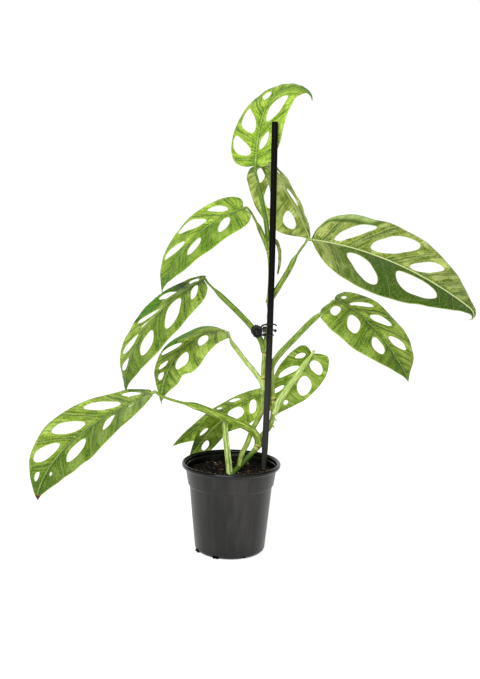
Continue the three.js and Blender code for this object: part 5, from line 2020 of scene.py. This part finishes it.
LEAVES = (
    LeafPlan(
        "leaf_01", (-97, -15, 195), length=192, back=0.1, blunt=0.25, taper=0.9, turn=188, sweep=4, rise=-25,
        droop=53, bend=1.9, roll=-12, twist=-37, shaded_half=1,
        left=HalfPlan(60, 0.4, 17, -6, -5, holes=(
            (0.127, 0.018, 0.16, 0.27, 0), (0.27, 0.033, 0.15, 0.53, 0.02), (0.53, 0.09, 0.24, 0.64, 0.02),
            (0.79, 0.012, 0.25, 0.42, 0),
        ), dents=((0, 0.03, -4), (0.06, 0.04, 1.5), (0.38, 0.07, 3))),
        right=HalfPlan(60, 0.85, -13, 11, 0, holes=(
            (0.075, 0.025, 0.35, 0.8, 0.02), (0.21, 0.05, 0.15, 0.8, 0.03), (0.44, 0.06, 0.14, 0.79, 0),
            (0.655, 0.07, 0.2, 0.86, 0.03), (0.845, 0.035, 0.38, 0.68, 0.01),
        ), dents=((0, 0.03, -8), (0.05, 0.04, 2))),
        stalk=StalkPlan((
            (33.5, 14, 127), (31.5, 9.5, 137.5), (25.5, 5, 147), (14.5, 3, 154), (1.5, 1, 159.5), (-15.5, -2, 167),
            (-31.5, -5, 174), (-48, -8, 180), (-67.5, -10.5, 185.5), (-78, -12, 189), (-87, -13.5, 193),
        ), sheath=0.72, wide=4, slim=1.6, knee=5),
    ),
    LeafPlan(
        "leaf_02", (-38, 8, 330), length=178, back=0.15, blunt=0.3, taper=0.95, turn=178, sweep=-4, rise=-31,
        droop=60, bend=1.35, roll=-24, twist=-17, painted_fold=(-1, 0.1, 0.3, 0.55), shaded_half=1,
        left=HalfPlan(59, 0.5, 3, 4, -12, holes=(
            (0.075, 0.025, 0.06, 0.55, 0.02), (0.235, 0.065, 0.08, 0.74, 0.02), (0.515, 0.095, 0.24, 0.71, 0),
        )),
        right=HalfPlan(60, 1, -24, 5, 19, holes=(
            (0.05, 0.02, 0.35, 0.8, 0), (0.16, 0.028, 0.4, 0.86, 0), (0.325, 0.03, 0.16, 0.83, 0.01),
            (0.42, 0.014, 0.2, 0.45, 0), (0.545, 0.055, 0.25, 0.89, 0), (0.745, 0.05, 0.25, 0.89, -0.02),
        ), dents=((0.28, 0.05, -3.5), (0.36, 0.04, -4))),
        stalk=StalkPlan((
            (37.5, 19, 243), (34, 20, 254), (26.5, 21, 266), (19, 21, 275), (7, 20, 287.5), (-5.5, 18, 299.5),
            (-17.5, 15, 311), (-25, 13, 318.5), (-32, 10, 325.5),
        ), sheath=0.82, wide=3.1, slim=1.4, knee=2),
    ),
    LeafPlan(
        "leaf_03", (-10, 22, 266), length=133, back=0.2, blunt=0.25, taper=1.2, turn=189, sweep=27, rise=18,
        droop=106, bend=0.65, roll=-15, twist=-18, painted_fold=(-1, 0.05, 0.3, 0.6), shaded_half=1,
        left=HalfPlan(45, 0.65, 9, -14, 0, holes=(
            (0.21, 0.05, 0.08, 0.52, -0.02), (0.49, 0.1, 0.19, 0.63, 0),
        ), dents=((0.1, 0.05, -1.5), (0.3, 0.06, 1), (0.56, 0.09, -4))),
        right=HalfPlan(45, 0.85, -16, -7, -2, holes=(
            (0.35, 0.045, 0.3, 0.92, 0), (0.565, 0.035, 0.32, 0.76, 0), (0.705, 0.045, 0.26, 0.75, -0.02),
        )),
        stalk=StalkPlan((
            (38, 19, 196), (36, 19, 203), (33.5, 19.5, 207.5), (29, 20, 213.5), (24, 20.5, 220), (13.5, 21, 232),
            (4.5, 22, 243.5), (-1.5, 22, 251), (-5, 22.5, 259),
        ), sheath=0.85, wide=2.8, slim=1.4, knee=3),
    ),
    LeafPlan(
        "leaf_04", (8, 12, 415), length=145, back=0.25, blunt=0.3, taper=0.9, turn=190, sweep=-11, rise=-14, droop=58,
        bend=0.8, roll=-29, twist=4, shaded_half=1,
        left=HalfPlan(53, 0.6, 10, 4, -13, holes=(
            (0.17, 0.04, 0.13, 0.64, 0.02), (0.45, 0.075, 0.2, 0.59, 0),
        ), dents=((0.02, 0.02, -2),)),
        right=HalfPlan(54, 0.95, -2, -3, -7, holes=(
            (0.115, 0.03, 0.15, 0.7, 0.01), (0.26, 0.055, 0.2, 0.92, -0.03), (0.51, 0.065, 0.2, 0.87, -0.02),
        )),
        stalk=StalkPlan((
            (40, 19, 366), (31, 17, 385), (23.5, 14, 400), (17, 12.5, 411),
        ), sheath=0.55, wide=2.6, slim=1.4, knee=4),
    ),
    LeafPlan(
        "leaf_05", (21.5, 36, 466.3), length=146, back=0.2, blunt=0.4, taper=1.05, turn=53, sweep=-55.6, rise=84,
        droop=152.6, bend=2.7, roll=5.3, twist=10.4, painted_fold=(1, 0.42, 0.9, 0.62), quilted=0.4,
        left=HalfPlan(49.3, 0.65, 15.6, -3.9, -38.5, holes=(
            (0.115, 0.045, 0.15, 0.9, 0.02), (0.29, 0.07, 0.1, 0.74, 0), (0.535, 0.04, 0.18, 0.5, -0.03),
        )),
        right=HalfPlan(43.3, 1.2, 15.4, -13, -25.2, holes=(
            (0.15, 0.04, 0.08, 0.45, 0.01), (0.355, 0.1, 0.18, 0.74, -0.02),
        )),
        stalk=StalkPlan((
            (39, 19, 372), (36.2, 23, 395.9), (31.4, 27.5, 419.1), (26.4, 32, 442.5),
        ), sheath=0.7, wide=2.6, slim=1.5, knee=4),
    ),
    LeafPlan(
        "leaf_06", (32.6, 55, 470.4), length=113, back=0.3, blunt=0.3, taper=0.85, turn=16, sweep=0, rise=-38,
        droop=27, bend=0.55, roll=-14, twist=-3,
        left=HalfPlan(53, 0.5, -10, -16, -14, holes=(
            (0.085, 0.05, 0.24, 0.6, 0.03), (0.28, 0.08, 0.24, 0.73, 0.05), (0.65, 0.11, 0.24, 0.7, 0.04),
        )),
        right=HalfPlan(51, 0.5, -14, -14, -7, holes=(
            (0.11, 0.02, 0.32, 0.7, 0), (0.4, 0.09, 0.1, 0.56, 0),
        )),
        stalk=StalkPlan((
            (42, 19, 366), (43, 26, 390), (43, 36, 420), (39.5, 46, 446), (32, 51, 462),
        ), sheath=0.5, wide=2.4, slim=1.4, knee=6),
    ),
    LeafPlan(
        "leaf_07", (89, 4, 380), length=223, back=-0.2, blunt=0.29, taper=1.03, turn=-5, sweep=-7, rise=-6, droop=33,
        bend=0.93, hook=150, roll=28, twist=-2, painted_fold=(1, 0.0, 0.14, 0.62), fold=0.36, shaded_half=-1,
        left=HalfPlan(84, 0.67, 6, -13, 2, holes=(
            (0.135, 0.035, 0.08, 0.79, 0.03), (0.32, 0.07, 0.1, 0.87, 0), (0.545, 0.05, 0.07, 0.8, 0),
        ), dents=((0.13, 0.03, -4), (0.33, 0.05, 1.2))),
        right=HalfPlan(84, 0.4, 16, -11, -21, holes=(
            (0.235, 0.065, 0.19, 0.83, 0.04), (0.56, 0.13, 0.17, 0.78, 0.01),
        )),
        stalk=StalkPlan((
            (40.5, 19, 302), (43.5, 18.5, 307), (50.5, 17, 318.5), (57.5, 15, 331), (64.5, 12.5, 343.5),
            (70, 10, 355.5), (77, 7.5, 368), (81.5, 6, 374.5),
        ), sheath=0.7, wide=3, slim=1.4, knee=4),
    ),
    LeafPlan(
        "leaf_08", (119, 2, 308), length=134, back=0.4, blunt=0.3, taper=1.03, turn=-29, sweep=1, rise=10, droop=70,
        bend=0.35, roll=22, twist=-2, shaded_half=-1,
        left=HalfPlan(55, 0.85, -5, -4, -11, holes=(
            (0.045, 0.012, 0.25, 0.5, 0), (0.135, 0.022, 0.08, 0.7, 0.02), (0.285, 0.05, 0.17, 0.68, -0.03),
            (0.53, 0.07, 0.22, 0.74, -0.03),
        ), dents=((0.06, 0.04, -3), (0.2, 0.05, -1.5), (0.37, 0.05, 1.5))),
        right=HalfPlan(53, 0.4, 12, -2, -25, holes=(
            (0.1, 0.033, 0.23, 0.63, 0.02), (0.27, 0.06, 0.17, 0.67, 0.03), (0.555, 0.08, 0.2, 0.63, 0.02),
        ), dents=((0.02, 0.03, -2),)),
        stalk=StalkPlan((
            (45, 19.5, 223), (50.5, 17, 233), (56.5, 15, 241.5), (68, 12, 255), (79.5, 9, 268), (91, 6, 281),
            (100, 4.5, 289.5), (108, 3.5, 297), (113, 3.5, 302.5),
        ), sheath=0.8, wide=3.3, slim=1.5, knee=2.5),
    ),
    LeafPlan(
        "leaf_09", (96.8, 34, 239.5), length=95, back=0.6, blunt=0.35, taper=0.95, turn=154, sweep=4, rise=-56,
        droop=9, bend=1, roll=51, twist=-10,
        left=HalfPlan(33, 0.85, -5, -6, -8, holes=(
            (0.085, 0.03, 0.2, 0.62, 0.02), (0.25, 0.052, 0.1, 0.78, 0.03), (0.495, 0.055, 0.3, 0.78, 0),
        )),
        right=HalfPlan(32, 0.35, -3, 1, -14, holes=(
            (0.145, 0.055, 0.12, 0.8, 0.04), (0.42, 0.12, 0.14, 0.84, 0.05), (0.77, 0.04, 0.08, 0.5, 0),
        )),
        stalk=StalkPlan((
            (50.5, 19.5, 166), (53, 19, 172), (55.5, 18.5, 181), (65, 18, 196), (75, 19, 210), (83, 22, 222),
            (91, 27, 232.5),
        ), sheath=0.85, wide=3.1, slim=1.5, knee=3.5),
    ),
    LeafPlan(
        "leaf_10", (36.6, 54.5, 184.1), length=140, back=0.25, blunt=0.25, taper=1, turn=168, sweep=3, rise=-23,
        droop=18, bend=0.8, roll=-36, twist=-7,
        left=HalfPlan(34, 0.2, -8, 2, -13, holes=(
            (0.11, 0.033, 0.08, 0.67, 0.02), (0.28, 0.08, 0.08, 0.6, -0.02), (0.63, 0.045, 0.38, 0.73, 0.02),
        )),
        right=HalfPlan(28, 0.8, -28, 3, 10, holes=(
            (0.22, 0.035, 0.37, 0.85, 0.03), (0.365, 0.016, 0.45, 0.8, 0),
        )),
        stalk=StalkPlan((
            (48, 19.5, 172), (42, 26, 178), (38.5, 34, 184), (39, 45, 188),
        ), sheath=0.5, wide=2.3, slim=1.4, knee=4),
    ),
    LeafPlan(
        "leaf_11", (-12.6, 22, 156.8), length=82, back=0.4, blunt=0.25, taper=0.9, turn=142, sweep=8, rise=-38,
        droop=22, bend=0.8, hook=10, roll=31, twist=-17,
        left=HalfPlan(22, -0.1, -2, -24, -5, holes=(
            (0.35, 0.075, 0.2, 0.64, 0.1),
        )),
        right=HalfPlan(23, 1.2, -5, -10, 3, holes=(
            (0.5, 0.1, 0.22, 0.72, -0.02),
        )),
        stalk=StalkPlan((
            (-2, -12, 84), (-2, -8, 97), (-4.5, -3, 118), (-7.5, 5, 139), (-8.5, 12, 151), (-8.7, 16.5, 158.5),
        ), sheath=0.93, wide=3.5, slim=1.5, knee=4),
    ),
)

LIGHT = BladeFinish(
    "blade_light", tissue=shade(124, 160, 28), pale_and_highlight=shade(182, 210, 88), deep_and_shade=shade(48, 92, 0),
    vein_and_rim_highlight=shade(198, 222, 124), under=shade(164, 190, 84), painted_fold=shade(146, 182, 112),
)
MID = BladeFinish(
    "blade_mid", tissue=shade(118, 150, 34), pale_and_highlight=shade(178, 202, 92), deep_and_shade=shade(38, 76, 0),
    vein_and_rim_highlight=shade(192, 212, 124), under=shade(144, 170, 68), painted_fold=shade(36, 104, 22),
)
SEARED = BladeFinish(
    "blade_mid", tissue=shade(122, 150, 36), pale_and_highlight=shade(178, 202, 102), deep_and_shade=shade(38, 76, 0),
    vein_and_rim_highlight=shade(190, 210, 122), under=shade(138, 164, 64), sear=0.1872, patchy=1.9, tip_shade=0.78,
)
DARK = BladeFinish(
    "blade_dark", tissue=shade(124, 158, 30), pale_and_highlight=shade(188, 212, 92), deep_and_shade=shade(34, 74, 0),
    vein_and_rim_highlight=shade(184, 206, 108), under=shade(120, 150, 46),
)
OLIVE = BladeFinish(
    "blade_olive", tissue=shade(108, 128, 26), pale_and_highlight=shade(196, 208, 120), deep_and_shade=shade(46, 80, 0),
    vein_and_rim_highlight=shade(212, 224, 154), under=shade(172, 188, 90), painted_fold=shade(170, 196, 122), rib_glow=0.9, rib_reach=2.5,
    half_shade=0.92,
)
LEAF_FINISHES = {
    "leaf_01": SEARED,
    "leaf_02": MID,
    "leaf_03": replace(
        MID, tissue=shade(140, 172, 48), pale_and_highlight=shade(192, 214, 106), painted_fold=shade(88, 166, 60), half_shade=0.25,
    ),
    "leaf_04": replace(LIGHT, tissue=shade(112, 146, 20), tip_shade=0.75),
    "leaf_05": LIGHT,
    "leaf_06": OLIVE,
    "leaf_07": OLIVE,
    "leaf_08": replace(MID, tissue=shade(130, 162, 42), pale_and_highlight=shade(188, 210, 100)),
    "leaf_09": replace(DARK, slot="blade_mid", tissue=shade(112, 144, 28), pale_and_highlight=shade(178, 202, 90)),
    "leaf_10": DARK,
    "leaf_11": DARK,
}
PETIOLE = StalkFinish(
    "petiole", skin=shade(92, 120, 18), pale=shade(166, 188, 88), dark=shade(44, 74, 0),
    scar=shade(130, 110, 52),
)
PALE_PETIOLE = StalkFinish(
    "petiole", skin=shade(156, 182, 78), pale=shade(222, 236, 166), dark=shade(74, 108, 14),
    scar=shade(140, 120, 62),
)
TOP_PETIOLE = StalkFinish(
    "petiole", skin=shade(78, 112, 26), pale=shade(126, 158, 54), dark=shade(44, 78, 14),
    scar=shade(110, 100, 44),
)
PETIOLE_FINISHES = {
    "leaf_01": replace(PETIOLE, skin=shade(106, 134, 24), pale=shade(182, 202, 98)),
    "leaf_03": PALE_PETIOLE,
    "leaf_05": TOP_PETIOLE,
    "leaf_09": PALE_PETIOLE,
    "leaf_10": PALE_PETIOLE,
    "leaf_11": PALE_PETIOLE,
}
STEM = StalkFinish(
    "stem", skin=shade(116, 140, 38), pale=shade(188, 202, 108), dark=shade(48, 80, 4),
    scar=shade(100, 58, 28),
)
FIRST_STEM = replace(STEM, dark_below=0.128)
ROOT = StalkFinish(
    "aerial_root", skin=shade(110, 122, 44), pale=shade(142, 150, 74), dark=shade(46, 38, 16),
    scar=shade(70, 48, 22),
)
POT_PLASTIC = PlasticFinish(
    "pot_plastic", colour=shade(14, 14, 13), dust=shade(46, 44, 41), roughness=0.3, grain=0.0003, scuff=0.8,
    crown=shade(4, 4, 4), polish=0.34, foot=0.024,
)
STAKE_PLASTIC = PlasticFinish(
    "stake_plastic", colour=shade(44, 44, 43), dust=shade(68, 67, 66), roughness=0.5, grain=0.00006,
    crown=shade(2, 2, 2), polish=0.06,
)
CLIP_PLASTIC = PlasticFinish(
    "clip_plastic", colour=shade(4, 5, 3), dust=shade(20, 24, 16), roughness=0.15, grain=0.00002,
    streak=(1.0, 1.0, 1.0), polish=0.36,
)
EARTH = SoilFinish("potting_soil", damp=shade(3, 2, 2), dry=shade(26, 19, 14), fibre=shade(88, 68, 50))
STEEL = SteelFinish("clip_steel", colour=shade(196, 196, 198))

LOWER_STEM = Vine(
    "stem_lower",
    route=(
        (-6, -12, 84), (2, -8, 97), (11, 0, 105), (23, 6, 117), (31, 10, 126), (35, 14, 136),
        (39.5, 18, 142), (45, 19.5, 147), (47.5, 19.5, 153), (49.5, 19.5, 161), (50, 19.5, 172),
        (49.4, 19.5, 185), (48, 19.5, 198), (47, 19.5, 214), (47, 19.5, 231),
    ),
    rings=((31, 10, 126), (49.4, 19.5, 184), (47, 19.5, 227)),
    buds=(((49.5, 19.5, 160), (1, -0.3, -0.1)), ((47.5, 19.5, 153), (0.9, -0.6, -0.5))),
)
UPPER_STEM = Vine(
    "stem_upper",
    route=(
        (9.5, -2, 104.5), (13, 3, 119), (19.5, 9, 132), (25, 14, 147), (31, 17, 158), (35.5, 19, 168),
        (38, 19, 186), (38.3, 19, 196), (37.6, 19, 210), (37, 19, 220.5), (37.6, 19, 233), (38.4, 19, 243),
        (38.6, 19, 253), (41, 19, 268), (43, 19, 285), (42, 19, 306), (42.6, 19, 325), (42.6, 19, 341),
        (41, 19, 364), (38.5, 19, 377),
    ),
    rings=((37.6, 19, 210), (38.4, 19, 242), (43, 19, 286), (42, 19, 306), (41, 19, 363)),
)
HANGING_ROOT = AerialRoot(((42, 19, 374), (47, 18, 378), (52, 17, 368), (53, 16, 353), (51, 16, 337)))
ROD = Stake(
    (
        (39.5, 10, 52), (40, 10, 75), (40, 10, 97), (41, 10, 135), (42, 10, 185), (43, 10, 246),
        (43.4, 10, 307), (43.6, 10, 367), (43.2, 10, 460), (43, 10, 516),
    ),
)


# ---- Studio ----


@dataclass
class Studio:
    """A pale floor that sweeps up behind, soft lights and the camera."""

    eye: Triple = (7.474, -1115.711, 414.691)
    right: Triple = (0.99978, 0.002878, 0.020744)
    up: Triple = (-0.020942, 0.137414, 0.990292)
    lens: float = 50.0
    world: float = 0.25

    def camera(self) -> None:
        """Places the camera."""
        camera = bpy.data.objects.new("camera", bpy.data.cameras.new("camera"))
        right, up = Vector(self.right).normalized(), Vector(self.up)
        up = (up - right * up.dot(right)).normalized()
        back = right.cross(up)
        camera.matrix_world = Matrix((
            (right.x, up.x, back.x, self.eye[0] * MM), (right.y, up.y, back.y, self.eye[1] * MM),
            (right.z, up.z, back.z, self.eye[2] * MM), (0, 0, 0, 1),
        ))
        camera.data.lens = self.lens
        camera.data.sensor_width = 36.0
        camera.data.clip_end = 50.0
        bpy.context.scene.collection.objects.link(camera)
        bpy.context.scene.camera = camera

    def floor(self) -> None:
        """Lays the floor and its sweep up the back, as one smooth sheet."""
        deselect()
        bpy.ops.mesh.primitive_plane_add(size=1)
        sweep = added("studio_floor")
        bpy.ops.object.mode_set(mode="EDIT")
        bpy.ops.mesh.select_all(action="SELECT")
        bpy.ops.transform.resize(value=(14, 7, 1))
        shape = bmesh.from_edit_mesh(sweep.data)
        for edge in shape.edges:
            edge.select_set(all(v.co.y > 0.1 for v in edge.verts))
        bmesh.update_edit_mesh(sweep.data)
        radius, steps = 2.5, 24
        for step in range(1, steps + 1):
            before, now = ((step - k) / steps * math.pi / 2 for k in (1, 0))
            forward = radius * (math.sin(now) - math.sin(before))
            rise = radius * (math.cos(before) - math.cos(now))
            bpy.ops.mesh.extrude_edges_move(TRANSFORM_OT_translate={"value": (0, forward, rise)})
        bpy.ops.mesh.extrude_edges_move(TRANSFORM_OT_translate={"value": (0, 0, 3)})
        bpy.ops.object.mode_set(mode="OBJECT")
        sweep.data.shade_smooth()
        recipe = Recipe("studio_white")
        recipe.set(Base_Color=(0.45, 0.45, 0.45), Roughness=0.9, Specular_IOR_Level=0.1)
        recipe.set(Emission_Color=(1.0, 1.0, 1.0), Emission_Strength=0.8)
        sweep.data.materials.append(recipe.material)
        sweep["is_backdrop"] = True

    def lights(self) -> None:
        """Adds soft light from all round and two wide lamps."""
        scene = bpy.context.scene
        scene.world = bpy.data.worlds.new("studio_air")
        scene.world.use_nodes = True
        tree = scene.world.node_tree
        background = tree.nodes["Background"]
        background.inputs["Color"].default_value = (1, 1, 1, 1)
        ray = tree.nodes.new("ShaderNodeLightPath")
        strength = tree.nodes.new("ShaderNodeMapRange")
        strength.inputs["To Min"].default_value = self.world
        strength.inputs["To Max"].default_value = 1.0
        tree.links.new(ray.outputs["Is Camera Ray"], strength.inputs["Value"])
        tree.links.new(strength.outputs["Result"], background.inputs["Strength"])
        for name, place, size, power in (
            ("key", (-0.7, -2.1, 1.6), 1.8, 72), ("fill", (1.6, -1.6, 0.9), 2.0, 4), ("top", (0.1, 0.2, 2.2), 1.4, 9),
        ):
            lamp = bpy.data.objects.new(name, bpy.data.lights.new(name, "AREA"))
            lamp.data.size = size
            lamp.data.energy = power
            lamp.location = place
            lamp.rotation_euler = (Vector(place) - Vector((0, 0, 0.28))).to_track_quat("Z", "Y").to_euler()
            scene.collection.objects.link(lamp)
        scene.view_settings.view_transform = "Standard"


def main() -> None:
    """Builds the studio, then each piece of the plant in order."""
    logging.basicConfig(level=logging.INFO, format="%(message)s")
    studio = Studio()
    studio.camera()
    studio.floor()
    studio.lights()
    Pot().build(POT_PLASTIC)
    Soil().build(EARTH)
    ROD.build(STAKE_PLASTIC)
    LOWER_STEM.build(FIRST_STEM)
    UPPER_STEM.build(STEM)
    HANGING_ROOT.build(ROOT)
    finishes = dict.fromkeys((PETIOLE, *PETIOLE_FINISHES.values()))
    stalks = {finish: finish.build(f"stalk_skin_{number}") for number, finish in enumerate(finishes)}
    for plan in LEAVES:
        skin = PETIOLE_FINISHES.get(plan.name, PETIOLE)
        leaf = Leaf(plan, LEAF_FINISHES[plan.name], skin)
        leaf.blade()
        leaf.petiole(stalks[skin])
    Clip().build(CLIP_PLASTIC, STEEL)


def corners() -> list[list[float]]:
    """The lowest and highest corner of what is shown, as plain lists."""
    return [list(map(float, corner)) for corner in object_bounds()]


if __name__ == "__main__":
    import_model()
    main()
